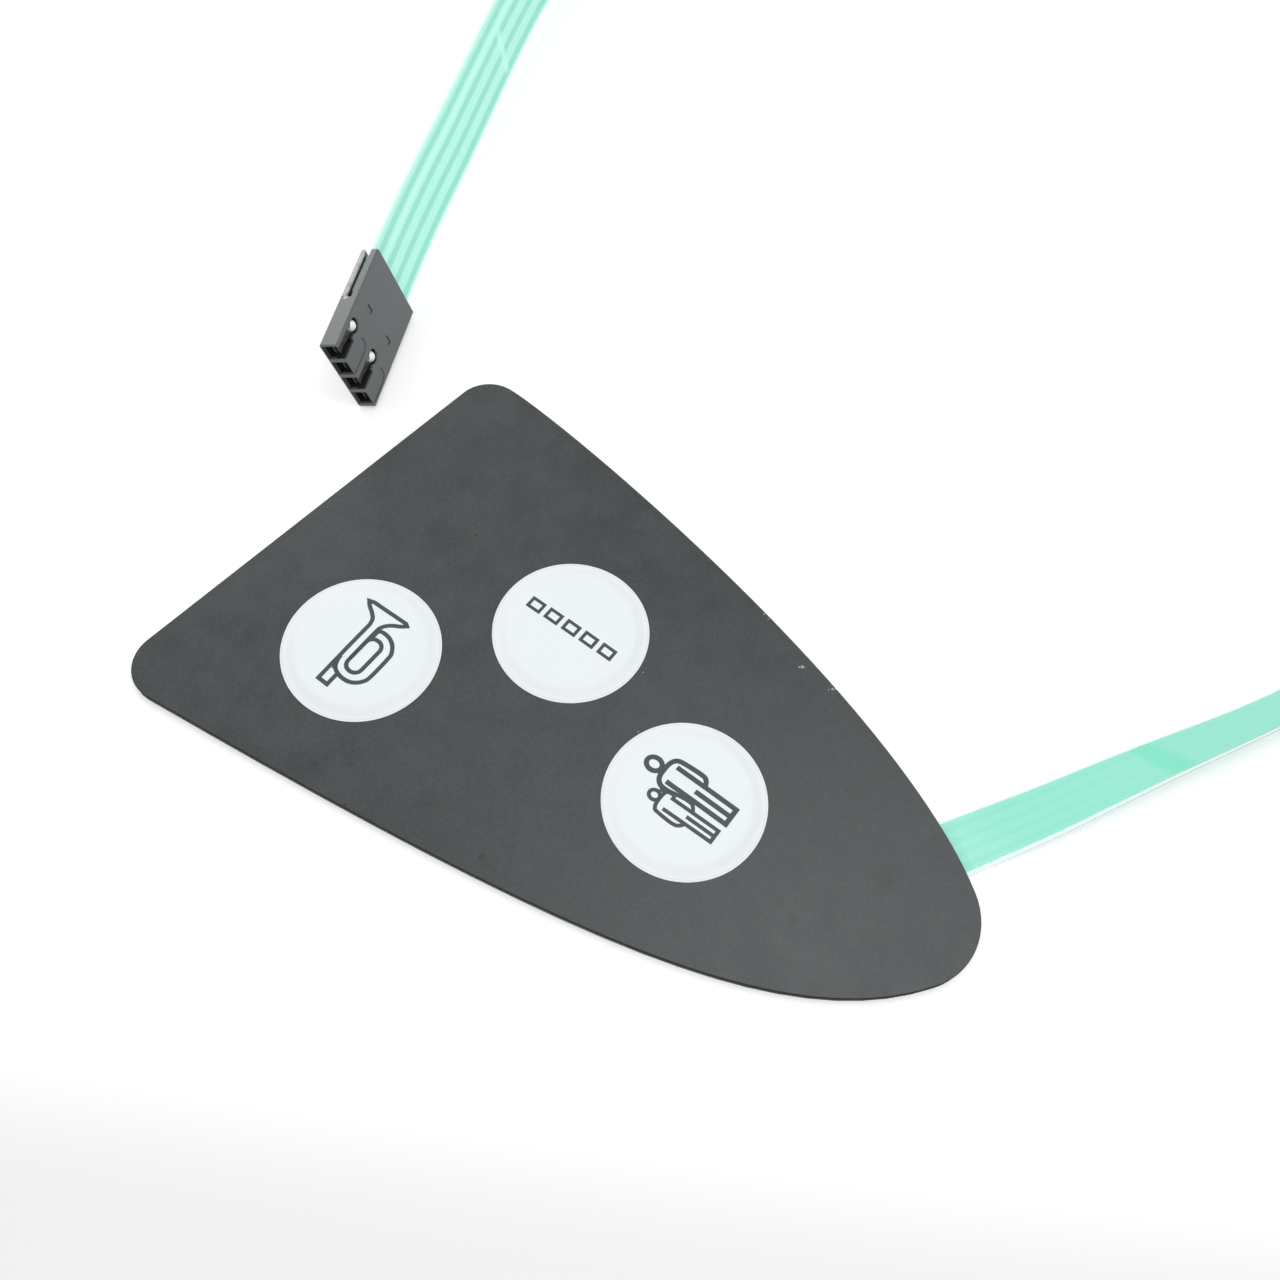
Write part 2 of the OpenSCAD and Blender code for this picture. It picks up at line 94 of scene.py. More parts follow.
class Term:
    """One output of a node. Arithmetic on it adds nodes to the tree."""

    def __init__(self, graph: "Graph", socket: bpy.types.NodeSocket) -> None:
        """Keeps the output and the graph that it belongs to."""
        self.graph = graph
        self.socket = socket

    __add__ = arithmetic("ADD")
    __sub__ = arithmetic("SUBTRACT")
    __mul__ = arithmetic("MULTIPLY")
    __truediv__ = arithmetic("DIVIDE")
    __abs__ = arithmetic("ABSOLUTE")
    above = arithmetic("GREATER_THAN")
    below = arithmetic("LESS_THAN")
    larger = arithmetic("MAXIMUM")
    smaller = arithmetic("MINIMUM")

    def __rsub__(self, other: float) -> "Term":
        """Returns a plain number less this term."""
        return self.graph.math("SUBTRACT", other, self)

    def __getitem__(self, name: str) -> "Term":
        """Returns another output of the same node."""
        return Term(self.graph, self.socket.node.outputs[name])

    def ramp(self, start: "Value", end: "Value", low: "Value" = 0.0,
             high: "Value" = 1.0) -> "Term":
        """Eases the term from one range to another.

        Args:
            start: where the result leaves low.
            end: where the result reaches high.
            low: the result before start.
            high: the result after end.

        Returns:
            The mapped value.
        """
        return self.graph.add("ShaderNodeMapRange", {
            "Value": self, "From Min": start, "From Max": end, "To Min": low, "To Max": high},
            "Result", interpolation_type="SMOOTHSTEP")


Value = Term | float | int | str | Sequence[float]
Paint = Callable[["Graph", Term], Term]


class Graph:
    """Adds nodes to one node tree and joins them."""

    def __init__(self, tree: Tree) -> None:
        """Keeps the tree that the nodes go into."""
        self.tree = tree

    def fill(self, node: Node, values: dict[int | str, Value]) -> None:
        """Sets a node's inputs to values of their own or to links from other nodes.

        Args:
            node: the node.
            values: what its inputs take, by their names or numbers.
        """
        for key, value in values.items():
            if isinstance(value, Term):
                self.tree.links.new(value.socket, node.inputs[key])
            else:
                node.inputs[key].default_value = value

    def add(self, kind: str, inputs: dict[int | str, Value] | None = None, out: int | str = 0,
            **settings: object) -> Term:
        """Adds a node.

        Args:
            kind: the node's type name.
            inputs: what its inputs take, by their names or numbers.
            out: the output that is wanted, by its name or number.
            settings: the node's own properties.

        Returns:
            The wanted output.
        """
        node = self.tree.nodes.new(kind)
        for name, value in settings.items():
            setattr(node, name, value)
        self.fill(node, inputs or {})
        return Term(self, node.outputs[out])

    def math(self, operation: str, a: Value, b: Value = 0.0, clamp: bool = False) -> Term:
        """Returns the result of one arithmetic step on two values."""
        return self.add("ShaderNodeMath", {0: a, 1: b}, operation=operation, use_clamp=clamp)

    def vector(self, operation: str, a: Value, b: Value) -> Term:
        """Returns the result of one step on two vectors."""
        out = "Value" if operation in ("DISTANCE", "DOT_PRODUCT") else "Vector"
        return self.add("ShaderNodeVectorMath", {0: a, 1: b}, out, operation=operation)

    def scaled(self, vector: Value, gain: Value) -> Term:
        """Returns a vector or colour times a number."""
        return self.add("ShaderNodeVectorMath", {0: vector, "Scale": gain}, operation="SCALE")

    def xyz(self, x: Value = 0.0, y: Value = 0.0, z: Value = 0.0) -> Term:
        """Returns a vector of three numbers."""
        return self.add("ShaderNodeCombineXYZ", {0: x, 1: y, 2: z})

    def mix(self, factor: Value, a: Value, b: Value) -> Term:
        """Returns a mix of two colours, whose sockets follow those for other kinds."""
        return self.add("ShaderNodeMix", {0: factor, 6: a, 7: b}, 2, data_type="RGBA")

    def noise(self, vector: Value, scale: Value, detail: float = 2.0) -> Term:
        """Returns a noise value from 0 to 1 at a place."""
        inputs = {"Vector": vector, "Scale": scale, "Detail": detail}
        return self.add("ShaderNodeTexNoise", inputs, "Fac")

    def place(self) -> Term:
        """Returns the object coordinates, in metres."""
        return self.add("ShaderNodeTexCoord", out="Object")

    def bump(self, height: Term, strength: float, depth: float) -> Term:
        """Returns the normals of a relief whose depth is in millimetres."""
        inputs = {"Height": height, "Strength": strength, "Distance": depth * MM}
        return self.add("ShaderNodeBump", inputs, "Normal")

    def use(self, tree: Tree, inputs: dict[int | str, Value]) -> Term:
        """Adds a shader group and returns its first output."""
        return self.add("ShaderNodeGroup", inputs, node_tree=tree)

    def seen(self) -> Term:
        """Returns 1 for rays of the camera, of reflections and through clear film, else 0."""
        ray = self.add("ShaderNodeLightPath")
        return ray["Is Camera Ray"].larger(ray["Is Glossy Ray"].larger(ray["Is Transmission Ray"]))

    def capture(self, geometry: Term, name: str, value: Term) -> Term:
        """Stores a number on a geometry.

        Args:
            geometry: what carries the number.
            name: the number's name, by which the result gives it again.
            value: the number.

        Returns:
            The geometry.
        """
        held = self.add("GeometryNodeCaptureAttribute").socket.node
        held.capture_items.new("FLOAT", name)
        self.fill(held, {0: geometry, name: value})
        return Term(self, held.outputs[0])


class Group(Graph):
    """A node group with named inputs and outputs."""

    def __init__(self, name: str, kind: str, inputs: dict[str, object],
                 outputs: dict[str, str]) -> None:
        """Makes the group's tree and its sockets.

        Args:
            name: the group's name.
            kind: the tree's type name.
            inputs: each input's default by its name, or the word for its type.
            outputs: the word for each output's type, by its name.
        """
        super().__init__(bpy.data.node_groups.new(name, kind))
        for side, sockets in (("INPUT", inputs), ("OUTPUT", outputs)):
            for label, default in sockets.items():
                socket = self.tree.interface.new_socket(
                    label, in_out=side, socket_type="NodeSocket" + self._word(default))
                if not isinstance(default, str):
                    socket.default_value = default
        self.given = Term(self, self.tree.nodes.new("NodeGroupInput").outputs[0])
        self.result = self.tree.nodes.new("NodeGroupOutput")

    @staticmethod
    def _word(default: object) -> str:
        """Returns the word for the socket type that takes a default."""
        many = "Color" if isinstance(default, tuple) and len(default) == len(WHITE) else "Vector"
        return {str: default, int: "Int", float: "Float", tuple: many}[type(default)]

    def give(self, values: dict[int | str, Term]) -> Tree:
        """Feeds the group's outputs and returns its tree."""
        self.fill(self.result, values)
        return self.tree

    def give_geometry(self, geometry: Term, material: Term) -> Tree:
        """Feeds the group's geometry, realized and with its material, and returns its tree."""
        whole = self.add("GeometryNodeRealizeInstances", {"Geometry": geometry})
        return self.give({0: self.add("GeometryNodeSetMaterial", {
            "Geometry": whole, "Material": material})})


@dataclass
class Effects:
    """Shader groups that more than one finish uses, each built once."""

    speck_scale: float = 2600.0
    broad_scale: float = 0.07
    fine_share: float = 0.6
    fine_detail: float = 3.0
    mottle_gain: float = 4.0
    grain: Tree = field(init=False)
    spot: Tree = field(init=False)
    ring: Tree = field(init=False)

    def __post_init__(self) -> None:
        """Builds the groups."""
        self.grain = self._grain()
        self.spot = self._spot()
        self.ring = self._ring()

    def _grain(self) -> Tree:
        """Builds the fine mottling and grain of a printed, moulded or rolled surface.

        Returns:
            The group's tree.
        """
        group = Group("surface_grain", SHADER, {
            "Color": (0.5, 0.5, 0.5, 1), "Scale": 1000.0, "Mottle": 0.05, "Roughness": 0.5,
            "Uneven": 0.05}, {"Color": "Color", "Roughness": "Float", "Height": "Float"})
        given, place = group.given, group.place()
        fine = group.noise(place, given["Scale"], self.fine_detail)
        broad = group.noise(place, given["Scale"] * self.broad_scale)
        blend = fine * self.fine_share + broad * (1 - self.fine_share)
        swing = (blend - 0.5) * given["Mottle"]
        return group.give({
            "Color": group.scaled(given["Color"], swing * self.mottle_gain + 1.0),
            "Roughness": given["Roughness"] + (broad - 0.5) * given["Uneven"], "Height": fine})

    def _spot(self) -> Tree:
        """Builds the mask of a speck, chip or smudge round one place.

        Returns:
            The group's tree.
        """
        group = Group("spot_mask", SHADER, {
            "Centre": (0, 0, 0), "Radius": 0.001, "Edge": 0.3, "Breakup": 0.5}, {"Mask": "Float"})
        given, place = group.given, group.place()
        share = group.vector("DISTANCE", place, given["Centre"]) / given["Radius"]
        ragged = (group.noise(place, self.speck_scale) - 0.5) * given["Breakup"]
        return group.give({"Mask": (share + ragged).ramp(1.0 - given["Edge"], 1.0, 1.0, 0.0)})

    @staticmethod
    def _ring() -> Tree:
        """Builds the mask of a thin line round a key.

        Returns:
            The group's tree.
        """
        group = Group("ring_mask", SHADER, {"Centre": (0, 0, 0), "Radius": 0.008,
                                            "Width": 0.0002}, {"Mask": "Float"})
        given = group.given
        level = group.vector("MULTIPLY", group.place(), (1, 1, 0))
        off = abs(group.vector("DISTANCE", level, given["Centre"]) - given["Radius"])
        return group.give({"Mask": off.ramp(0.0, given["Width"], 1.0, 0.0)})


def new_material(name: str) -> tuple[Material, Graph, Node]:
    """Makes a material.

    Args:
        name: its name.

    Returns:
        The material, its graph and its shader.
    """
    made = bpy.data.materials.new(name)
    made.use_nodes = True
    return made, Graph(made.node_tree), made.node_tree.nodes["Principled BSDF"]


@dataclass(frozen=True)
class Finish:
    """The plain part of a surface finish: colour, gloss, grain and mottling."""

    name: str
    color: Color
    roughness: float
    grain_scale: float = 1500.0
    grain_depth: float = 0.002
    grain_strength: float = 0.4
    mottle: float = 0.04
    uneven: float = 0.1
    metallic: float = 0.0
    specular: float = 0.5

    def material(self, effects: Effects, paint: Paint | None = None) -> Material:
        """Builds the material.

        Args:
            effects: the shared shader groups.
            paint: lays further colour over the grain's, if given.

        Returns:
            The new material.
        """
        made, graph, shader = new_material(self.name)
        grain = graph.use(effects.grain, {
            "Color": self.color, "Scale": self.grain_scale, "Mottle": self.mottle,
            "Roughness": self.roughness, "Uneven": self.uneven})
        graph.fill(shader, {
            "Base Color": paint(graph, grain) if paint else grain,
            "Roughness": grain["Roughness"], "Metallic": self.metallic,
            "Normal": graph.bump(grain["Height"], self.grain_strength, self.grain_depth),
            "Specular IOR Level": self.specular})
        return made


def new_object(name: str, data: bpy.types.ID) -> Piece:
    """Makes an object and links it to the scene.

    Args:
        name: its name.
        data: its mesh, lamp or camera.

    Returns:
        The new object.
    """
    made = bpy.data.objects.new(name, data)
    bpy.context.scene.collection.objects.link(made)
    return made


def dress(piece: Piece, *materials: Material) -> None:
    """Gives a piece new materials, which makes every face use the first one.

    Args:
        piece: the piece.
        materials: what it has from now on.
    """
    piece.data.materials.clear()
    for material in materials:
        piece.data.materials.append(material)


def mesh_object(name: str, points: Sequence[Sequence[float]], faces: Sequence[Sequence[int]],
                edges: Sequence[Sequence[int]] = ()) -> Piece:
    """Makes an object from points in millimetres.

    Args:
        name: the object's name.
        points: the corners.
        faces: the faces, as numbers of corners.
        edges: loose edges, as pairs of corners.

    Returns:
        The new object, in the scene.
    """
    mesh = bpy.data.meshes.new(name)
    mesh.from_pydata([[c * MM for c in point] for point in points], edges, faces)
    return new_object(name, mesh)


def shape_object(name: str, shape: Shape, *materials: Material) -> Piece:
    """Makes an object from an edited mesh, which it frees.

    Args:
        name: the object's name.
        shape: the edited mesh, in metres.
        materials: its materials.

    Returns:
        The new object, in the scene.
    """
    made = new_object(name, bpy.data.meshes.new(name))
    # The faces' own material numbers come with the mesh, so they are written last
    dress(made, *materials)
    shape.to_mesh(made.data)
    shape.free()
    return made


def baked(source: Piece, material: Material) -> Piece:
    """Turns an object with modifiers into one with a plain mesh.

    Args:
        source: the object, which keeps its name through its successor.
        material: the finished mesh's material.

    Returns:
        The plain object.
    """
    name = source.name
    graph = bpy.context.evaluated_depsgraph_get()
    graph.update()
    mesh = bpy.data.meshes.new_from_object(source.evaluated_get(graph), depsgraph=graph)
    bpy.data.objects.remove(source)
    mesh.name = name
    made = new_object(name, mesh)
    dress(made, material)
    return made


def add_tree(piece: Piece, tree: Tree, values: dict[str, object]) -> None:
    """Adds a modifier that runs a tree.

    Args:
        piece: the piece that it shapes.
        tree: the tree.
        values: the tree's inputs, by name.
    """
    modifier = piece.modifiers.new("tree", "NODES")
    modifier.node_group = tree
    for item in tree.interface.items_tree:
        if item.item_type == "SOCKET" and item.in_out == "INPUT" and item.name in values:
            modifier[item.identifier] = values[item.name]


def thickened(piece: Piece, thickness: float, offset: float) -> None:
    """Adds a Solidify that closes an open sheet.

    Args:
        piece: the sheet.
        thickness: its thickness, in millimetres.
        offset: -1 to grow behind the sheet, 0 on both sides, 1 in front of it.
    """
    wall = piece.modifiers.new("thickness", "SOLIDIFY")
    wall.thickness = thickness * MM
    wall.offset = offset
    wall.use_even_offset = True


def finish_piece(piece: Piece, slot: str, *replaced: str) -> Piece:
    """Hands a finished piece to the frame.

    Args:
        piece: the piece, whose mesh is final.
        slot: not used.
        replaced: the CAD nodes that it stands for.

    Returns:
        The same piece.
    """
    if replaced:
        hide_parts(*replaced)
    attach(piece, BODY)
    log.info("piece %s: %d faces", piece.name, len(piece.data.polygons))
    return piece


def along(degrees: float) -> Vector:
    """Returns the flat direction at an angle."""
    return Vector((math.cos(math.radians(degrees)), math.sin(math.radians(degrees))))


def arc(centre: Vector, radius: float, start: float, end: float, steps: int) -> list[Vector]:
    """Returns points on an arc, its two ends among them."""
    return [centre + radius * along(start + (end - start) * i / steps) for i in range(steps + 1)]


def circle(centre: Vector, radius: float, steps: int) -> list[Vector]:
    """Returns points on a circle."""
    return [centre + radius * along(360 * i / steps) for i in range(steps)]


def oval(x: float, y: float, width: float, height: float, steps: int) -> list[Point]:
    """Returns points on an upright oval, given by its middle and its half sizes."""
    turns = [math.tau * i / steps for i in range(steps)]
    return [(x + width * math.cos(a), y + height * math.sin(a)) for a in turns]


def cubic(a: Vector, b: Vector, c: Vector, d: Vector, steps: int) -> list[Vector]:
    """Returns points on a cubic curve, without its two ends."""
    places = [i / steps for i in range(1, steps)]
    return [(1 - t) ** 3 * a + 3 * (1 - t) ** 2 * t * b + 3 * (1 - t) * t * t * c + t ** 3 * d
            for t in places]


def rounded(points: Sequence[Point], steps: int) -> list[Point]:
    """Draws a smooth curve through points.

    Args:
        points: what the curve passes through.
        steps: pieces between two points.

    Returns:
        Points on the curve.
    """
    given = [Vector(p) for p in points]
    given = [2 * given[0] - given[1], *given, 2 * given[-1] - given[-2]]
    curve: list[Point] = []
    for p0, p1, p2, p3 in zip(given, given[1:], given[2:], given[3:]):
        for t in (k / steps for k in range(steps)):
            curve.append(tuple(0.5 * (
                2 * p1 + (p2 - p0) * t + (2 * p0 - 5 * p1 + 4 * p2 - p3) * t * t
                + (3 * p1 - p0 - 3 * p2 + p3) * t ** 3)))
    return curve + [tuple(given[-2])]


class Key(Enum):
    """The three keys, by where their middles lie on the panel."""

    HORN = (-9.5, 25.1)
    LEVEL = (5.9, 8.9)
    PEOPLE = (-2.1, -12.1)


class Face(Enum):
    """What shows on a part of the overlay, by its material's number."""

    FILM = 0
    KEY = 1
    CUT = 2


@dataclass(frozen=True)
class Marks:
    """Small marks of one kind on the overlay, each given by its place and radius."""

    tint: Color
    strength: float
    edge: float
    breakup: float
    spots: tuple[Place, ...]


@dataclass
class PrintedOverlay:
    """The dark printed film with its raised white keys."""

    width: float = 54.4
    length: float = 86.8
    corner_radius: float = 4.2
    nose_radius: float = 7.4
    nose_shift: float = 1.9
    top_fall: float = 5.3
    right_lean: float = 6.2
    left_lean: float = 7.8
    right_turn: float = 37.5
    left_turn: float = 54.5
    right_handles: Point = (0.06, 0.26)
    left_handles: Point = (0.6, 0.18)
    corner_steps: int = 16
    side_steps: int = 48
    nose_steps: int = 32
    underside: float = 0.9
    thickness: float = 0.22
    cut_rounding: float = 0.05
    cut_turns: tuple[float, ...] = (0, 30, 60, 90)
    field_radius: float = 8.5
    flank_radius: float = 8.35
    crown_radius: float = 6.65
    emboss_height: float = 0.45
    crown_height: float = 0.12
    key_sides: int = 128
    flank_rings: int = 14
    crown_rings: int = 6
    inside_share: float = 0.9995
    weld: float = 1e-4
    ring_inset: float = 0.05
    ring_width: float = 0.16
    ring_strength: float = 0.25
    ring_tint: Color = (0.45, 0.47, 0.47, 1)
    marks: tuple[Marks, ...] = (
        Marks((0.008, 0.01, 0.01, 1), 0.9, 0.4, 0.3, (
            (8.89, 24.86, 0.22), (-19.15, 0.25, 0.42), (-23.35, 14.4, 0.2),
            (22.63, -3.9, 0.15))),
        Marks((0.34, 0.36, 0.36, 1), 0.85, 0.6, 0.3, (
            (17.95, -13.3, 0.26), (17.72, -13.05, 0.15), (17.75, -17.3, 0.2),
            (17.95, -17.55, 0.15), (17.4, -17.0, 0.1), (20.75, -6.4, 0.13), (20.5, -7.1, 0.1),
            (6.8, -0.2, 0.1), (1.0, -3.9, 0.1))),
        Marks((0.012, 0.014, 0.015, 1), 0.7, 0.9, 0.6, (
            (-5.6, -27.5, 0.9), (-4.9, -25.6, 0.6), (3.2, -32.8, 1.8))))

    def outline(self, inset: float = 0.0) -> list[Vector]:
        """Draws the panel's outline anticlockwise from its left corner.

        Args:
            inset: how far inside the cut edge the line runs.

        Returns:
            The outline's points.
        """
        corner, tip, normal = self.corner_radius, self.nose_radius, 90 - self.top_fall
        left = Vector((corner - self.width / 2, self.length / 2 - corner))
        drop = (self.width - 2 * corner) * math.tan(math.radians(self.top_fall))
        right = Vector((self.width / 2 - corner, left.y - drop))
        nose = Vector((self.nose_shift, tip - self.length / 2))
        right_reach, left_reach = ([share * self.length for share in handles]
                                   for handles in (self.right_handles, self.left_handles))
        right_start = right + corner * along(self.right_lean)
        right_end = nose + tip * along(-self.right_turn)
        left_start = left + corner * along(180 + self.left_lean)
        left_end = nose + tip * along(180 + self.left_turn)
        points = arc(left, corner, 180 + self.left_lean, normal, self.corner_steps)
        points += arc(right, corner, normal, self.right_lean, self.corner_steps)
        points += cubic(right_start, right_start + right_reach[0] * along(self.right_lean - 90),
                        right_end - right_reach[1] * along(-self.right_turn - 90), right_end,
                        self.side_steps)
        points += arc(nose, tip, -self.right_turn, self.left_turn - 180, self.nose_steps)
        points += cubic(left_end, left_end + left_reach[1] * along(self.left_turn + 90),
                        left_start - left_reach[0] * along(self.left_lean + 90), left_start,
                        self.side_steps)
        points.reverse()
        moved = []
        for i, point in enumerate(points):
            way = (points[(i + 1) % len(points)] - points[i - 1]).normalized()
            moved.append(point + inset * Vector((-way.y, way.x)))
        return moved

    def rise(self, radius: float) -> float:
        """Measures a raised key.

        Args:
            radius: the distance from its middle.

        Returns:
            Its height over the sheet there.
        """
        if radius < self.crown_radius:
            crown = self.crown_height * (1 - (radius / self.crown_radius) ** 2)
            return self.emboss_height + crown
        if radius >= self.flank_radius:
            return 0.0
        share = (radius - self.crown_radius) / (self.flank_radius - self.crown_radius)
        return self.emboss_height * (1 + math.cos(math.pi * share)) / 2

    def _sheet(self) -> tuple[list[Vector], list[tuple[int, ...]]]:
        """Triangulates the flat sheet round the three keys.

        Returns:
            Its points, and its faces with their fronts up.
        """
        middles = [Vector(key.value) for key in Key]
        loops = [self.outline(self.cut_rounding)]
        loops += [circle(middle, self.field_radius, self.key_sides) for middle in middles]
        points: list[Vector] = []
        edges: list[tuple[int, int]] = []
        for loop in loops:
            start = len(points)
            points += loop
            edges += [(start + i, start + (i + 1) % len(loop)) for i in range(len(loop))]
        flat, _, faces, *_ = delaunay_2d_cdt(points, edges, [], 0, TINY)
        kept = []
        for face in faces:
            at = sum((flat[i] for i in face), Vector((0, 0))) / len(face)
            nearest = min((at - middle).length for middle in middles)
            if nearest > self.field_radius * self.inside_share:
                kept.append(tuple(face))
        return list(flat), kept

    def _radii(self) -> list[float]:
        """Spaces the rings that shape a key.

        Returns:
            Their radii, from its rim inwards.
        """
        flank = (self.flank_radius - self.crown_radius) / self.flank_rings
        crown = self.crown_radius / self.crown_rings
        return [self.field_radius,
                *(self.flank_radius - flank * i for i in range(self.flank_rings + 1)),
                *(crown * i for i in range(self.crown_rings - 1, 0, -1))]

    def build(self, film: Material, field_white: Material, cut: Material) -> Piece:
        """Builds the film as one closed sheet.

        Args:
            film: the dark printed surface.
            field_white: the white key fields.
            cut: the die-cut edge.

        Returns:
            The finished piece.
        """
        shape = bmesh.new()
        top = self.underside + self.thickness
        flat, faces = self._sheet()
        for base, front in ((top, True), (self.underside, False)):
            corners = [shape.verts.new((p.x, p.y, base)) for p in flat]
            for face in faces:
                shape.faces.new([corners[i] for i in (face if front else face[::-1])])
            for key in Key:
                self._key(shape, Vector(key.value), base, front)
        self._rim(shape, top)
        bmesh.ops.remove_doubles(shape, verts=shape.verts, dist=self.weld)
        bmesh.ops.scale(shape, vec=(MM, MM, MM), verts=shape.verts)
        piece = shape_object("overlay_film", shape, film, field_white, cut)
        return finish_piece(piece, "overlay", "graphic_overlay")

    def _key(self, shape: Shape, centre: Vector, base: float, front: bool) -> None:
        """Adds one face of a raised key, white on the upper side.

        Args:
            shape: the mesh being built.
            centre: the key's middle.
            base: the height of the flat sheet round it.
            front: whether this is the upper face.
        """
        rings = [[shape.verts.new((p.x, p.y, base + self.rise(radius)))
                  for p in circle(centre, radius, self.key_sides)] for radius in self._radii()]
        middle = shape.verts.new((centre.x, centre.y, base + self.rise(0)))
        pairs = [(i, (i + 1) % self.key_sides) for i in range(self.key_sides)]
        quads = [[outer[i], outer[k], inner[k], inner[i]]
                 for outer, inner in zip(rings, rings[1:]) for i, k in pairs]
        for corners in quads + [[rings[-1][i], rings[-1][k], middle] for i, k in pairs]:
            face = shape.faces.new(corners if front else corners[::-1])
            face.smooth = True
            face.material_index = (Face.KEY if front else Face.FILM).value

    def _rim(self, shape: Shape, top: float) -> None:
        """Adds the rounded upper arris and the cut wall.

        Args:
            shape: the mesh being built.
            top: the height of the sheet's upper face.
        """
        turn = self.cut_rounding
        loops = [(turn * (1 - math.sin(a)), top - turn * (1 - math.cos(a)))
                 for a in map(math.radians, self.cut_turns)]
        loops += [(0.0, self.underside), (turn, self.underside)]
        rows = [[shape.verts.new((p.x, p.y, z)) for p in self.outline(inset)]
                for inset, z in loops]
        last, count = len(rows) - 2, len(rows[0])
        for number, (upper, lower) in enumerate(zip(rows, rows[1:])):
            for i in range(count):
                k = (i + 1) % count
                face = shape.faces.new([upper[i], lower[i], lower[k], upper[k]])
                face.material_index = (Face.CUT if number < last else Face.FILM).value
                face.smooth = number < last
                for edge in face.edges:
                    if number in (0, last) and set(edge.verts) == {upper[i], upper[k]}:
                        edge.smooth = False

    def wear(self, effects: Effects, graph: Graph, color: Term) -> Term:
        """Paints the small marks on the film.

        Args:
            effects: the shared shader groups.
            graph: the film's graph.
            color: its colour.

        Returns:
            The marked colour.
        """
        height = (self.underside + self.thickness) * MM
        for kind in self.marks:
            for x, y, radius in kind.spots:
                spot = graph.use(effects.spot, {
                    "Centre": (x * MM, y * MM, height), "Radius": radius * MM,
                    "Edge": kind.edge, "Breakup": kind.breakup})
                color = graph.mix(spot * kind.strength, color, kind.tint)
        return color

    def key_lines(self, effects: Effects, graph: Graph, color: Term) -> Term:
        """Paints the fine grey line at the foot of each raised key.

        Args:
            effects: the shared shader groups.
            graph: the key fields' graph.
            color: their colour.

        Returns:
            The lined colour.
        """
        for key in Key:
            ring = graph.use(effects.ring, {
                "Centre": (key.value[0] * MM, key.value[1] * MM, 0),
                "Radius": (self.flank_radius - self.ring_inset) * MM,
                "Width": self.ring_width * MM})
            color = graph.mix(ring * self.ring_strength, color, self.ring_tint)
        return color


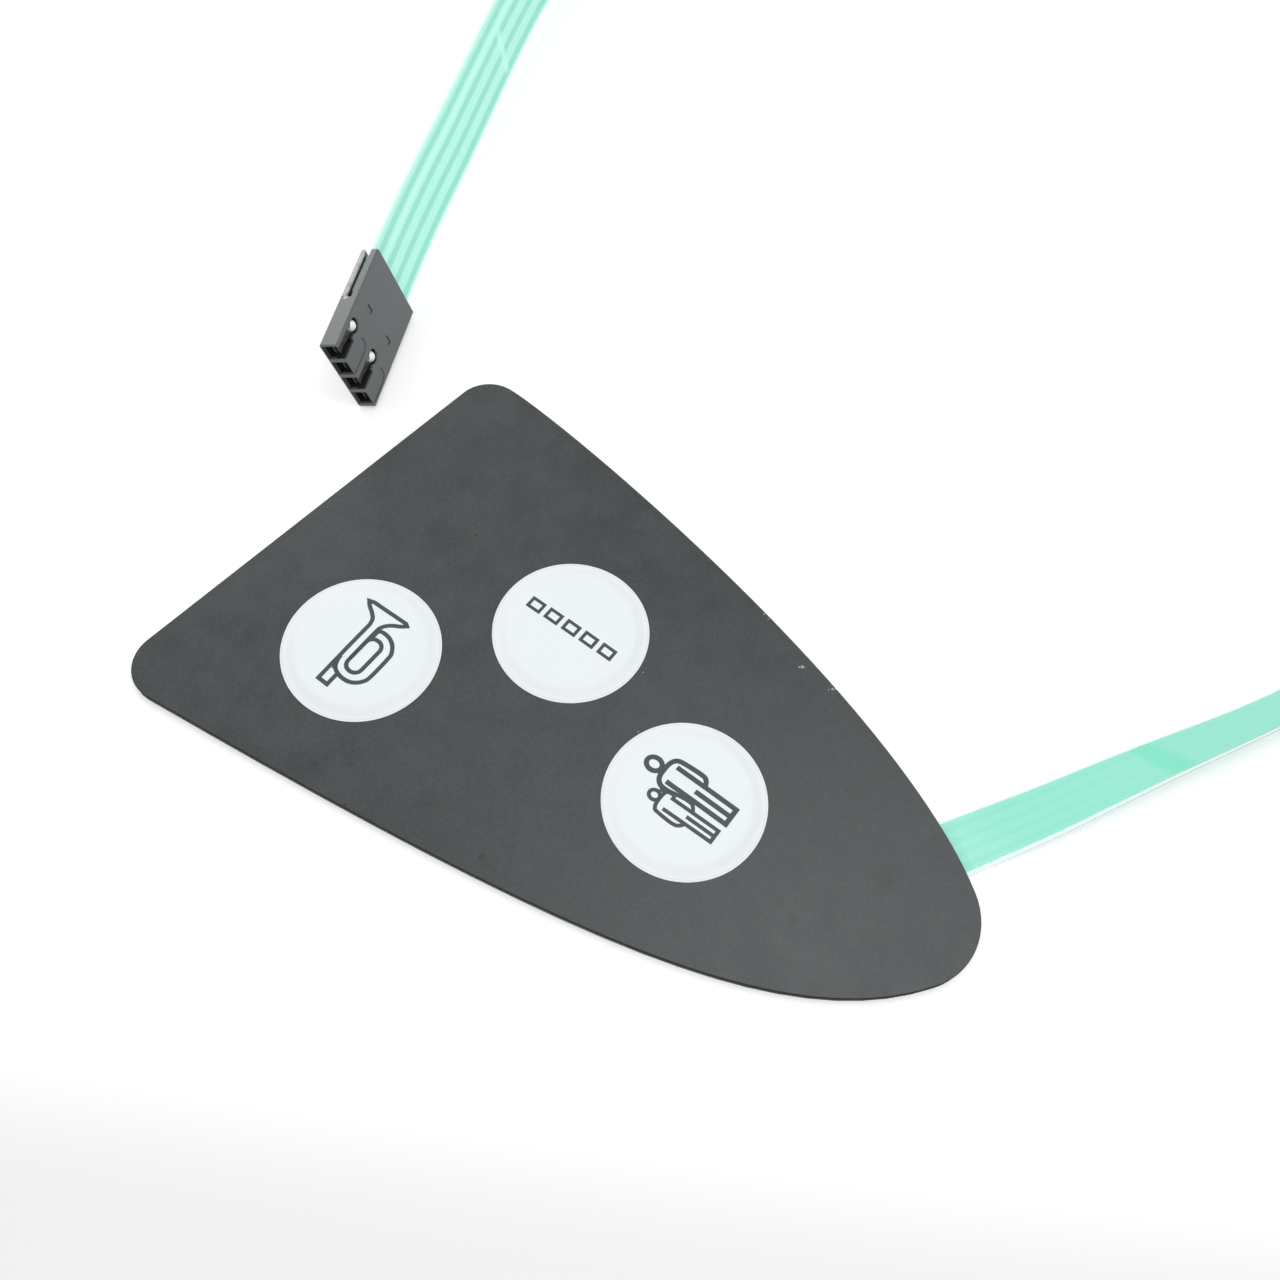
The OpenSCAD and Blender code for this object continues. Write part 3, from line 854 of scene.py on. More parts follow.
@dataclass
class SymbolInk:
    """Lays printed symbols on the raised keys."""

    surface: Piece
    ink: Material
    lift: float = 0.012
    ink_thickness: float = 0.008
    step: float = 0.25
    drop_from: float = 10.0
    splits: int = 2
    sharpest_lean: float = 0.35
    inputs: dict[str, object] = field(default_factory=lambda: {
        "Geometry": "Geometry", "Surface": "Object", "Lift": 0.0, "Ink": "Material"})
    laid: Tree = field(init=False)
    boxes: Tree = field(init=False)

    def __post_init__(self) -> None:
        """Builds the node trees."""
        self.laid = self._laid_tree()
        self.boxes = self._box_tree()

    def _drape(self, group: Group, geometry: Term) -> Tree:
        """Drops a flat mesh onto the group's surface and ends the group with it.

        Args:
            group: the group being built.
            geometry: the flat mesh.

        Returns:
            The group's tree.
        """
        given = group.given
        target = group.add("GeometryNodeObjectInfo", {"Object": given["Surface"]}, "Geometry",
                           transform_space="ORIGINAL")
        above = group.vector("ADD", group.add("GeometryNodeInputPosition"),
                             (0, 0, self.drop_from * MM))
        ray = group.add("GeometryNodeRaycast", {
            "Target Geometry": target, "Source Position": above, "Ray Direction": (0, 0, -1),
            "Ray Length": 2 * self.drop_from * MM})
        landed = group.vector("ADD", ray["Hit Position"], group.xyz(z=given["Lift"]))
        moved = group.add("GeometryNodeSetPosition", {
            "Geometry": geometry, "Selection": ray["Is Hit"], "Position": landed})
        return group.give_geometry(moved, given["Ink"])

    def _laid_tree(self) -> Tree:
        """Builds the tree that lays drawn strokes on a surface."""
        group = Group("strokes_on_surface", GEOMETRY, self.inputs, {"Geometry": "Geometry"})
        return self._drape(group, group.given["Geometry"])

    def _box_tree(self) -> Tree:
        """Builds the tree that lays a row of outlined boxes on a surface.

        Returns:
            The tree.
        """
        group = Group("boxes_on_surface", GEOMETRY, {
            **self.inputs, "Count": 5, "Start": (0, 0, 0), "Step": (0, 0.001, 0),
            "Width": 0.001, "Height": 0.002, "Line": 0.0003}, {"Geometry": "Geometry"})
        given = group.given
        both = group.add("GeometryNodeJoinGeometry")
        for shrink in (0.0, given["Line"] * 2.0):
            group.fill(both.socket.node, {0: group.add(
                "GeometryNodeCurvePrimitiveQuadrilateral",
                {name: given[name] - shrink for name in ("Width", "Height")})})
        filled = group.add("GeometryNodeFillCurve", {"Curve": both})
        fine = group.add("GeometryNodeSubdivideMesh", {"Mesh": filled, "Level": self.splits})
        row = group.add("GeometryNodeMeshLine", {
            "Count": given["Count"], "Start Location": given["Start"], "Offset": given["Step"]})
        copies = group.add("GeometryNodeInstanceOnPoints", {"Points": row, "Instance": fine})
        whole = group.add("GeometryNodeRealizeInstances", {"Geometry": copies})
        return self._drape(group, whole)

    def _print(self, piece: Piece, tree: Tree, values: dict[str, object]) -> Piece:
        """Runs a tree on a piece, closes the ink and hands it over.

        Args:
            piece: the piece that carries the flat drawing.
            tree: the tree that lays it down.
            values: the tree's inputs, by name.

        Returns:
            The finished piece.
        """
        add_tree(piece, tree, {
            "Surface": self.surface, "Lift": self.lift * MM, "Ink": self.ink, **values})
        thickened(piece, self.ink_thickness, -1.0)
        return finish_piece(baked(piece, self.ink), "overlay")

    def _band(self, line: Sequence[Point], width: float, closed: bool) -> tuple[list, list]:
        """Gives a line its width, with mitred corners.

        Args:
            line: the middle of the stroke.
            width: how wide it is.
            closed: whether it returns to its start.

        Returns:
            The band's points and faces.
        """
        ends = [Vector(p) for p in line]
        fine: list[Vector] = []
        for a, b in zip(ends, ends[1:] + ends[:1] if closed else ends[1:]):
            parts = max(1, math.ceil((b - a).length / self.step))
            fine += [a.lerp(b, i / parts) for i in range(parts)]
        if not closed:
            fine.append(ends[-1])
        count = len(fine)
        points = []
        for i, point in enumerate(fine):
            ahead = fine[(i + 1) % count] - point if closed or i < count - 1 else None
            back = point - fine[i - 1] if closed or i > 0 else None
            ways = [w.normalized() for w in (back, ahead) if w is not None and w.length > TINY]
            middle = sum(ways, Vector((0, 0))).normalized()
            lean = max(self.sharpest_lean, middle.dot(ways[0]))
            side = Vector((-middle.y, middle.x)) * (width / 2 / lean)
            points += [(*(point - side), 0.0), (*(point + side), 0.0)]
        pairs = [(i, (i + 1) % count) for i in range(count if closed else count - 1)]
        return points, [(2 * i, 2 * k, 2 * k + 1, 2 * i + 1) for i, k in pairs]

    def strokes(self, name: str, key: Key, shift: Point,
                drawn: Sequence[tuple[Sequence[Point], float, bool]]) -> Piece:
        """Prints a symbol drawn with strokes.

        Args:
            name: the piece's name.
            key: the key that it is printed on.
            shift: how far from the key's middle the drawing's own middle is.
            drawn: each stroke's points about that middle, its width, and whether it is closed.

        Returns:
            The finished piece.
        """
        points: list = []
        faces: list = []
        x, y = key.value[0] + shift[0], key.value[1] + shift[1]
        for line, width, closed in drawn:
            corners, quads = self._band([(p[0] + x, p[1] + y) for p in line], width, closed)
            faces += [tuple(len(points) + i for i in quad) for quad in quads]
            points += corners
        return self._print(mesh_object(name, points, faces), self.laid, {})

    def box_row(self, name: str, start: Point, way: Point, count: int, size: Point,
                line: float) -> Piece:
        """Prints a row of outlined boxes.

        Args:
            name: the piece's name.
            start: the middle of the first box.
            way: the way from one box to the next.
            count: how many there are.
            size: a box's width and height.
            line: the width of its outline.

        Returns:
            The finished piece.
        """
        return self._print(mesh_object(name, [(0, 0, 0)], []), self.boxes, {
            "Count": count, "Start": [c * MM for c in (*start, 0)],
            "Step": [c * MM for c in (*way, 0)],
            "Width": size[0] * MM, "Height": size[1] * MM, "Line": line * MM})


@dataclass
class KeySymbols:
    """The three generic symbols: a horn, a row of level boxes, and two standing figures."""

    line: float = 0.47
    adult_line: float = 0.54
    child_line: float = 0.41
    thin_fill: float = 0.5
    wide_fill: float = 0.55
    horn_shift: Point = (-0.07, -0.24)
    people_shift: Point = (-0.13, -0.12)
    curve_steps: int = 4
    coat_steps: int = 5
    slot_radius: float = 0.85
    slot_steps: int = 6
    tall_head_steps: int = 28
    short_head_steps: int = 24
    boxes: int = 5
    first_box: Point = (0.01, 4.8)
    box_step: Point = (0.0525, -2.375)
    box_size: Point = (1.46, 1.86)
    box_line: float = 0.37

    def _horn(self) -> list[tuple[Sequence[Point], float, bool]]:
        """Draws the horn about its key's middle.

        Returns:
            Each stroke's points, its width, and whether it is closed.
        """
        mouthpiece = [(-3.75, -0.07), (-5.33, -0.07), (-5.33, 1.17), (2.6, 1.25)]
        bell = rounded([(2.6, 1.25), (3.3, 1.5), (3.85, 2.14), (4.27, 2.82), (4.72, 3.3)],
                       self.curve_steps)
        face = [(4.72, 3.3), (4.9, 2.7), (4.95, 0.7), (5.04, -1.7), (4.86, -2.0)]
        flare = rounded([(4.86, -2.0), (4.44, -1.51), (4.02, -0.83), (3.59, -0.32),
                         (3.0, 0.06), (2.23, 0.14), (-1.6, 0.1)], self.curve_steps)
        coil = rounded([(-2.0, 1.1), (-2.75, 1.0), (-3.3, 0.66), (-3.63, 0.2), (-3.83, -0.55),
                        (-3.8, -1.43), (-3.46, -2.19), (-2.87, -2.75), (-2.02, -3.04),
                        (0.79, -3.04), (1.47, -2.87), (2.15, -2.36), (2.57, -1.68),
                        (2.72, -1.0), (2.7, -0.41), (2.5, 0.0)], self.curve_steps)
        corners = ((-1.93, -0.75, 90), (-1.93, -0.92, 180), (0.79, -0.92, 270), (0.79, -0.75, 0))
        slot = [tuple(p) for x, y, start in corners
                for p in arc(Vector((x, y)), self.slot_radius, start, start + 90,
                             self.slot_steps)]
        return [(mouthpiece + bell[1:] + face[1:] + flare[1:], self.line, False),
                (coil, self.line, False), (slot, self.line, True),
                ([(1.25, 0.0), (2.65, 0.0)], self.wide_fill, False),
                ([(-3.6, 0.62), (-2.6, 1.02)], self.thin_fill, False)]

    def _people(self) -> list[tuple[Sequence[Point], float, bool]]:
        """Draws the taller and the shorter figure about their key's middle.

        Returns:
            Each stroke's points, its width, and whether it is closed.
        """
        tall, short = self.adult_line, self.child_line
        coat = rounded([(-0.22, 0.9), (-0.33, 2.5), (-0.12, 3.15), (0.42, 3.54), (1.29, 3.62),
                        (2.18, 3.55), (2.8, 3.22), (3.08, 2.5), (3.2, 0.15), (2.98, -0.45),
                        (2.5, -0.75)], self.coat_steps)
        small_coat = rounded([(-2.1, -1.44), (-2.55, -1.12), (-2.83, -0.44), (-2.75, 1.55),
                              (-2.53, 1.95), (-2.02, 2.13), (-0.92, 2.13), (-0.41, 1.92),
                              (-0.2, 1.55), (-0.02, 0.5), (0.08, -0.55), (-0.15, -1.05),
                              (-0.58, -1.35)], self.curve_steps)
        return [(oval(1.21, 4.79, 0.72, 0.86, self.tall_head_steps), tall, True),
                (oval(-1.47, 2.79, 0.52, 0.6, self.short_head_steps), short, True),
                (coat, tall, False),
                ([(0.4, 2.71), (0.4, -4.7), (2.31, -4.7), (2.31, 2.71)], tall, False),
                ([(1.33, -0.27), (1.33, -4.7)], tall, False),
                ([(0.1, 0.35), (0.1, -0.6)], self.thin_fill, False),
                ([(-0.55, 2.75), (-0.5, 2.0)], self.wide_fill, False),
                (small_coat, short, False),
                ([(-2.15, 1.26), (-2.02, -4.54), (-0.62, -4.54), (-0.71, 1.26)], short, False),
                ([(-1.39, -1.12), (-1.34, -4.54)], short, False)]

    def build(self, press: SymbolInk) -> None:
        """Prints the three symbols.

        Args:
            press: what lays the ink on the keys.
        """
        press.strokes("horn_symbol", Key.HORN, self.horn_shift, self._horn())
        start = tuple(a + b for a, b in zip(Key.LEVEL.value, self.first_box))
        press.box_row("level_symbol", start, self.box_step, self.boxes, self.box_size,
                      self.box_line)
        press.strokes("people_symbol", Key.PEOPLE, self.people_shift, self._people())


@dataclass
class FilmTail:
    """The flat film tail, from the panel's edge to the connector's rear."""

    exit_width: float = 6.0
    mouth_width: float = 9.9
    widen_from: float = 150.0
    widen_to: float = 185.0
    thickness: float = 0.18
    exit_lift: float = 0.31
    end_lift: float = 0.581
    settle_length: float = 14.0
    rise_length: float = 30.0
    stand_angle: float = 72.7
    turn_length: float = 41.0
    gripped_length: float = 6.4
    gripped_parts: Point = (0.5, 1.0)
    columns: int = 13
    fine_steps: int = 10
    path_steps: int = 4
    sharp_angle: float = 40.0
    route: tuple[Point, ...] = (
        (11.5, -37.1), (14.8, -39.1), (19.6, -42), (27, -46.2), (32.4, -49.3), (37.8, -52.5),
        (43.4, -55.7), (49, -58.4), (55, -59.4), (61, -58), (70, -54.3), (82, -49.2),
        (96, -43.3), (112, -36.5), (128, -30.6), (144.5, -25.2), (160, -19), (171, -7.8),
        (176, 7), (175.5, 22.5), (169.5, 37), (159, 49.5), (145.5, 61), (130.5, 71), (115, 79),
        (100, 81.5), (89, 79.8), (77, 75.6), (65, 70.7), (53, 65.7), (44, 62), (36, 58.5),
        (28, 54.8))

    def middle_line(self, steps: int) -> list[Vector]:
        """Draws the tail's middle on the table, gripped end included.

        Args:
            steps: pieces between two points of the route.

        Returns:
            The line's points.
        """
        line = [Vector(p) for p in rounded(self.route, steps)]
        way = (Vector(self.route[-1]) - Vector(self.route[-2])).normalized()
        return line + [line[-1] + way * self.gripped_length * part for part in self.gripped_parts]

    def mouth_at(self) -> float:
        """Returns the distance along the tail at which it enters the connector."""
        line = self.middle_line(self.fine_steps)
        return sum((b - a).length for a, b in zip(line, line[1:])) - self.gripped_length

    def _share(self, distance: float) -> float:
        """Returns how far the tail has turned up on edge at a distance, from 0 to 1."""
        return 1 - math.exp(-distance / self.turn_length)

    @staticmethod
    def _ease(start: float, end: float, value: float) -> float:
        """Returns a smooth step from 0 to 1 between two values."""
        t = min(1.0, max(0.0, (value - start) / (end - start)))
        return t * t * (3 - 2 * t)

    def centreline(self) -> list[Place]:
        """Draws the middle of the tail in space.

        Returns:
            The line's points, in metres.
        """
        line = self.middle_line(self.path_steps)
        distances = [0.0]
        for a, b in zip(line, line[1:]):
            distances.append(distances[-1] + (b - a).length)
        mouth, rest = distances[-1 - len(self.gripped_parts)], self.thickness / 2
        centres = []
        for point, s in zip(line, distances):
            share = self._share(min(s, mouth)) / self._share(mouth)
            turned = math.radians(self.stand_angle) * share
            width = self.exit_width + (self.mouth_width - self.exit_width) * self._ease(
                self.widen_from, self.widen_to, s)
            lift = (rest + (self.exit_lift - rest) * (1 - self._ease(0, self.settle_length, s))
                    + (self.end_lift - rest) * self._ease(mouth - self.rise_length, mouth, s))
            height = lift + width / 2 * math.sin(turned)
            centres.append((point.x * MM, point.y * MM, height * MM))
        return centres

    def _values(self) -> dict[str, float]:
        """Returns the tree's lengths in metres and its angle in radians, by input."""
        lengths = {
            "Exit Width": self.exit_width, "Mouth Width": self.mouth_width,
            "Widen From": self.widen_from, "Widen To": self.widen_to,
            "Exit Lift": self.exit_lift, "Rest Lift": self.thickness / 2,
            "End Lift": self.end_lift, "Settle Length": self.settle_length,
            "Rise Length": self.rise_length, "Turn Length": self.turn_length,
            "Mouth At": self.mouth_at()}
        return {"Stand Angle": math.radians(self.stand_angle),
                **{name: length * MM for name, length in lengths.items()}}

    def _tree(self) -> Tree:
        """Builds the tree that sweeps a turning, widening film along a route on the table.

        Returns:
            The tree.
        """
        group = Group("film_along_route", GEOMETRY, {
            "Geometry": "Geometry", **dict.fromkeys(self._values(), 0.0), "Columns": 9,
            "Film": "Material"}, {"Geometry": "Geometry"})
        given = group.given
        route = group.add("GeometryNodeMeshToCurve", {"Mesh": given["Geometry"]})
        run = group.add("GeometryNodeSplineParameter", out="Length")
        held = group.capture(route, "Distance", run)
        distance, mouth = held["Distance"], given["Mouth At"]

        def share(at: Term) -> Term:
            """Returns how far the film has turned up at a distance."""
            return 1.0 - group.math("EXPONENT", at / given["Turn Length"] * -1.0)

        turned = given["Stand Angle"] * (share(distance.smaller(mouth)) / share(mouth))
        half = distance.ramp(given["Widen From"], given["Widen To"], given["Exit Width"],
                             given["Mouth Width"]) * 0.5
        settled = distance.ramp(0.0, given["Settle Length"], given["Exit Lift"],
                                given["Rest Lift"])
        gain = distance.ramp(mouth - given["Rise Length"], mouth, 0.0,
                             given["End Lift"] - given["Rest Lift"])
        height = settled + gain + half * group.math("SINE", turned)
        raised = group.add("GeometryNodeSetPosition", {
            "Geometry": held, "Offset": group.xyz(z=height)})
        level = group.add("GeometryNodeSetCurveNormal", {"Curve": raised}, mode="Z_UP")
        rolled = group.add("GeometryNodeSetCurveTilt", {"Curve": level, "Tilt": turned * -1.0})
        bar = group.add("GeometryNodeCurvePrimitiveLine", {
            "Start": (-1, 0, 0), "End": (1, 0, 0)})
        split = group.add("GeometryNodeResampleCurve", {
            "Curve": bar, "Count": given["Columns"]})
        part = group.add("GeometryNodeSplineParameter", out="Factor")
        across = group.capture(split, "Across", part)
        film = group.add("GeometryNodeCurveToMesh", {
            "Curve": rolled, "Profile Curve": across, "Scale": half})
        mapped = group.add("GeometryNodeStoreNamedAttribute", {
            "Geometry": film, "Name": "UVMap",
            "Value": group.xyz(distance * TailPrint.map_scale, across["Across"])},
            data_type="FLOAT2", domain="CORNER")
        smooth = group.add("GeometryNodeSetShadeSmooth", {"Geometry": mapped})
        return group.give_geometry(smooth, given["Film"])

    def build(self, film: Material, connector: Sequence[Piece]) -> Piece:
        """Args:
            film: its material, which reads its UV map.
            connector: not used.

        Returns:
            The finished piece.
        """
        line = self.middle_line(self.fine_steps)
        piece = mesh_object("tail_film", [(p.x, p.y, 0.0) for p in line], [],
                            [(i, i + 1) for i in range(len(line) - 1)])
        add_tree(piece, self._tree(), {**self._values(), "Columns": self.columns, "Film": film})
        thickened(piece, self.thickness, 0.0)
        piece = baked(piece, film)
        piece.data.set_sharp_from_angle(angle=math.radians(self.sharp_angle))
        piece = finish_piece(piece, "circuit_film", "film_tail")
        path = self.centreline()
        return piece


@dataclass
class TailPrint:
    """The finish of the tail and of the circuit film: mint over four tracks, with clear margins.

    Lengths along the film are in millimetres, and places across it are shares of its width. The
    pairs for the tracks and the margins hold a measure at the panel and at the connector, and
    the others hold the two ends of a soft step. The map's scale is its length for a metre.
    """

    tail: FilmTail
    # Mouth Mint and Mouth Stripe are painted light, lighter copies of Mint and Stripe where light
    # shines through the film near the connector; Light is the colour of painted highlights
    tints: dict[str, Color] = field(default_factory=lambda: {
        "Mint": linear(144, 220, 200), "Stripe": linear(130, 210, 187),
        "Light": linear(200, 255, 244), "Margin": linear(228, 255, 250),
        "Patch": linear(122, 218, 188), "Mouth Mint": linear(180, 247, 230),
        "Mouth Stripe": linear(149, 226, 205), "Rim": linear(186, 190, 188)})
    # painted shade on the circuit film's walls under the panel
    painted_wall_shade: Color = linear(28, 30, 31)
    shine_through: float = 0.08
    map_scale: float = 10.0
    track_spacing: Point = (0.215, 0.236)
    track_middle: Point = (0.5, 0.484)
    dark_wave: Point = (-0.1, 0.7)
    bright_wave: Point = (-0.7, -0.98)
    dark_reach: float = 2.0
    bright_reach: float = 1.6
    bright_lift: float = 0.1
    first_lift: float = 0.7
    mouth_strength: float = 0.9
    exit_fade: Point = (3.0, 24.0)
    exit_strength: Point = (0.35, 0.1)
    patch_slant: float = 1.6
    patch_start: Point = (21.4, 22.3)
    patch_end: Point = (23.8, 25.4)
    patch_strength: float = 0.85
    raised_margin: tuple[Point, Point] = ((0.915, 0.88), (0.94, 1.02))
    low_margin: Point = (0.055, 0.065)
    low_edge: float = 0.01
    margin_clearness: Point = (0.6, 0.8)
    margin_shine: float = 0.6
    margin_glow: float = 2.0
    crease_slant: float = 2.6
    crease_before_mouth: float = 45.7
    crease_spread: Point = (0.1, 1.3)
    crease_start: Point = (0.08, 0.16)
    crease_end: Point = (0.74, 0.58)
    crease_highlight_strength: float = 0.7
    wall: float = 0.0015
    wall_clearness: float = 0.9
    rim_cover: float = 0.55
    tab_reach: float = -2.5
    tab_half: float = 0.52
    relief: float = 0.02
    relief_strength: float = 0.3
    specular: float = 0.4
    grain: dict[str, float] = field(default_factory=lambda: {
        "Scale": 900.0, "Mottle": 0.012, "Roughness": 0.32, "Uneven": 0.15})
    tree: Tree = field(init=False)

    def __post_init__(self) -> None:
        """Builds the print's group."""
        self.tree = self._tree()

    def _tree(self) -> Tree:
        """Builds the group that draws the print from distance and place across.

        Returns:
            The group's tree.
        """
        group = Group("tail_print", SHADER, {"Distance": 0.0, "Across": 0.5, **self.tints}, {
            "Color": "Color", "Alpha": "Float", "Height": "Float", "Glow": "Color"})
        given = group.given
        distance, across = given["Distance"], given["Across"]
        widen = (self.tail.widen_from, self.tail.widen_to)
        near_mouth = distance.ramp(*widen)
        # Four tracks
        spacing = distance.ramp(*widen, *self.track_spacing)
        shifted = (across - distance.ramp(*widen, *self.track_middle)) / spacing
        wave = group.math("COSINE", (shifted + 0.5) * math.tau)
        dark = wave.ramp(*self.dark_wave) * abs(shifted).below(self.dark_reach)
        bright = wave.ramp(*self.bright_wave) * abs(shifted).below(self.bright_reach)
        lift = bright * self.bright_lift + bright * shifted.above(0.5) * self.first_lift
        at_exit = distance.ramp(*self.exit_fade, *self.exit_strength)
        strength = group.math("ADD", near_mouth * self.mouth_strength, at_exit, clamp=True)
        # Painted light: near the mouth the colours turn to their lighter copies, for light through
        # the film standing on edge
        color = group.mix(dark * strength, *(
            group.mix(near_mouth, given[name], given[f"Mouth {name}"])
            for name in ("Mint", "Stripe")))
        # Painted light: lighter stripes between the tracks near the mouth
        color = group.mix(lift * near_mouth, color, given["Light"])
        # The darker slanting patch on the exit stretch
        slant = distance - across * self.patch_slant
        patch = slant.ramp(*self.patch_start) * slant.ramp(*self.patch_end, 1.0, 0.0)
        color = group.mix(patch * self.patch_strength, color, given["Patch"])
        # Clear margins: a wide one on the raised side near the mouth, narrow ones elsewhere
        raised = across.ramp(*(distance.ramp(*widen, *pair) for pair in self.raised_margin))
        low = across.ramp(distance.ramp(*widen, *self.low_margin), self.low_edge)
        clear = raised.larger(low)
        color = group.mix(clear, color, given["Margin"])
        # A crease across the film not far from the connector, with a painted highlight along it
        crease_at = self.tail.mouth_at() - self.crease_before_mouth
        off = abs(distance + across * self.crease_slant - crease_at)
        middle = across.ramp(*self.crease_start) * across.ramp(*self.crease_end)
        crease = off.ramp(*self.crease_spread, 1.0, 0.0) * middle
        color = group.mix(crease * self.crease_highlight_strength, color, given["Light"])
        # The cut walls: a fine grey line on the raised side's, none on the other's
        raised_wall, low_wall = across.above(1 - self.wall), across.below(self.wall)
        grey_rim = raised_wall * (1.0 - near_mouth)
        color = group.mix(low_wall, group.mix(grey_rim, color, given["Rim"]), WHITE)
        cover = 1.0 - clear * distance.ramp(*widen, *self.margin_clearness)
        gone = low_wall.larger(raised_wall * near_mouth)
        cover = cover.larger(grey_rim * self.rim_cover) * (1.0 - gone * self.wall_clearness)
        # What shines through the film
        through = near_mouth.larger(clear * self.margin_shine)
        glow = group.scaled(group.mix(through, BLACK, color), clear * self.margin_glow + 1.0)
        return group.give({"Color": color, "Alpha": cover, "Height": dark + crease,
                           "Glow": group.mix(grey_rim, glow, BLACK)})

    def _printed(self, name: str, effects: Effects, place: Callable[[Graph], tuple[Term, Term]],
                 hidden: bool) -> Material:
        """Builds a material that carries the print.

        Args:
            name: the material's name.
            effects: the shared shader groups.
            place: gives the distance along the tail, in millimetres, and the place across it.
            hidden: whether the print stops under the panel, where the film's walls are painted
                dark as shade.

        Returns:
            The new material.
        """
        made, graph, shader = new_material(name)
        distance, across = place(graph)
        printed = graph.use(self.tree, {"Distance": distance, "Across": across, **self.tints})
        color = printed
        if hidden:
            # Painted shade: outside the tab the circuit film takes a dark colour, seen only on its
            # walls
            outside = distance.above(self.tab_reach) * abs(across - 0.5).below(self.tab_half)
            color = graph.mix(outside, self.painted_wall_shade, printed)
        grain = graph.use(effects.grain, {"Color": color, **self.grain})
        graph.fill(shader, {
            "Base Color": grain, "Roughness": grain["Roughness"], "Alpha": printed["Alpha"],
            "Normal": graph.bump(printed["Height"], self.relief_strength, self.relief),
            "Specular IOR Level": self.specular, "Emission Color": printed["Glow"],
            "Emission Strength": self.shine_through})
        return made

    def _by_map(self, graph: Graph) -> tuple[Term, Term]:
        """Reads the place on the tail from its UV map.

        Args:
            graph: the material's graph.

        Returns:
            The distance along the tail, in millimetres, and the place across it.
        """
        flat = graph.add("ShaderNodeUVMap", uv_map="UVMap")
        parts = graph.add("ShaderNodeSeparateXYZ", {0: flat})
        return parts["X"] * (1 / MM / self.map_scale), parts["Y"]

    def _by_place(self, graph: Graph) -> tuple[Term, Term]:
        """Reads the place on the tab from where it lies on the table.

        Args:
            graph: the material's graph.

        Returns:
            The distance along the tail, in millimetres, and the place across it.
        """
        start = Vector(self.tail.route[0])
        way = (Vector(self.tail.route[1]) - start).normalized()
        off = graph.vector("SUBTRACT", graph.place(), (*(start * MM), 0))
        ahead = graph.vector("DOT_PRODUCT", off, (way.x, way.y, 0))
        aside = graph.vector("DOT_PRODUCT", off, (way.y, -way.x, 0))
        return ahead * (1 / MM), aside / (self.tail.exit_width * MM) + 0.5

    def material(self, effects: Effects) -> Material:
        """Builds the tail's material, which reads its UV map."""
        return self._printed("tail_film_print", effects, self._by_map, False)

    def tab_material(self, effects: Effects) -> Material:
        """Builds the circuit film's material, whose print runs on over the tab to the tail."""
        return self._printed("circuit_film_print", effects, self._by_place, True)


@dataclass(frozen=True)
class Lamp:
    """A square soft lamp: where it hangs, what it points at, its side and its power in watts."""

    name: str
    place: Place
    aim: Place
    size: float
    power: float

    def hang(self) -> None:
        """Adds the lamp to the scene."""
        data = bpy.data.lights.new(self.name, "AREA")
        data.size = self.size * MM
        data.energy = self.power
        made = new_object(self.name, data)
        made.location = [c * MM for c in self.place]
        way = Vector(self.aim) - Vector(self.place)
        made.rotation_euler = way.to_track_quat("-Z", "Y").to_euler()


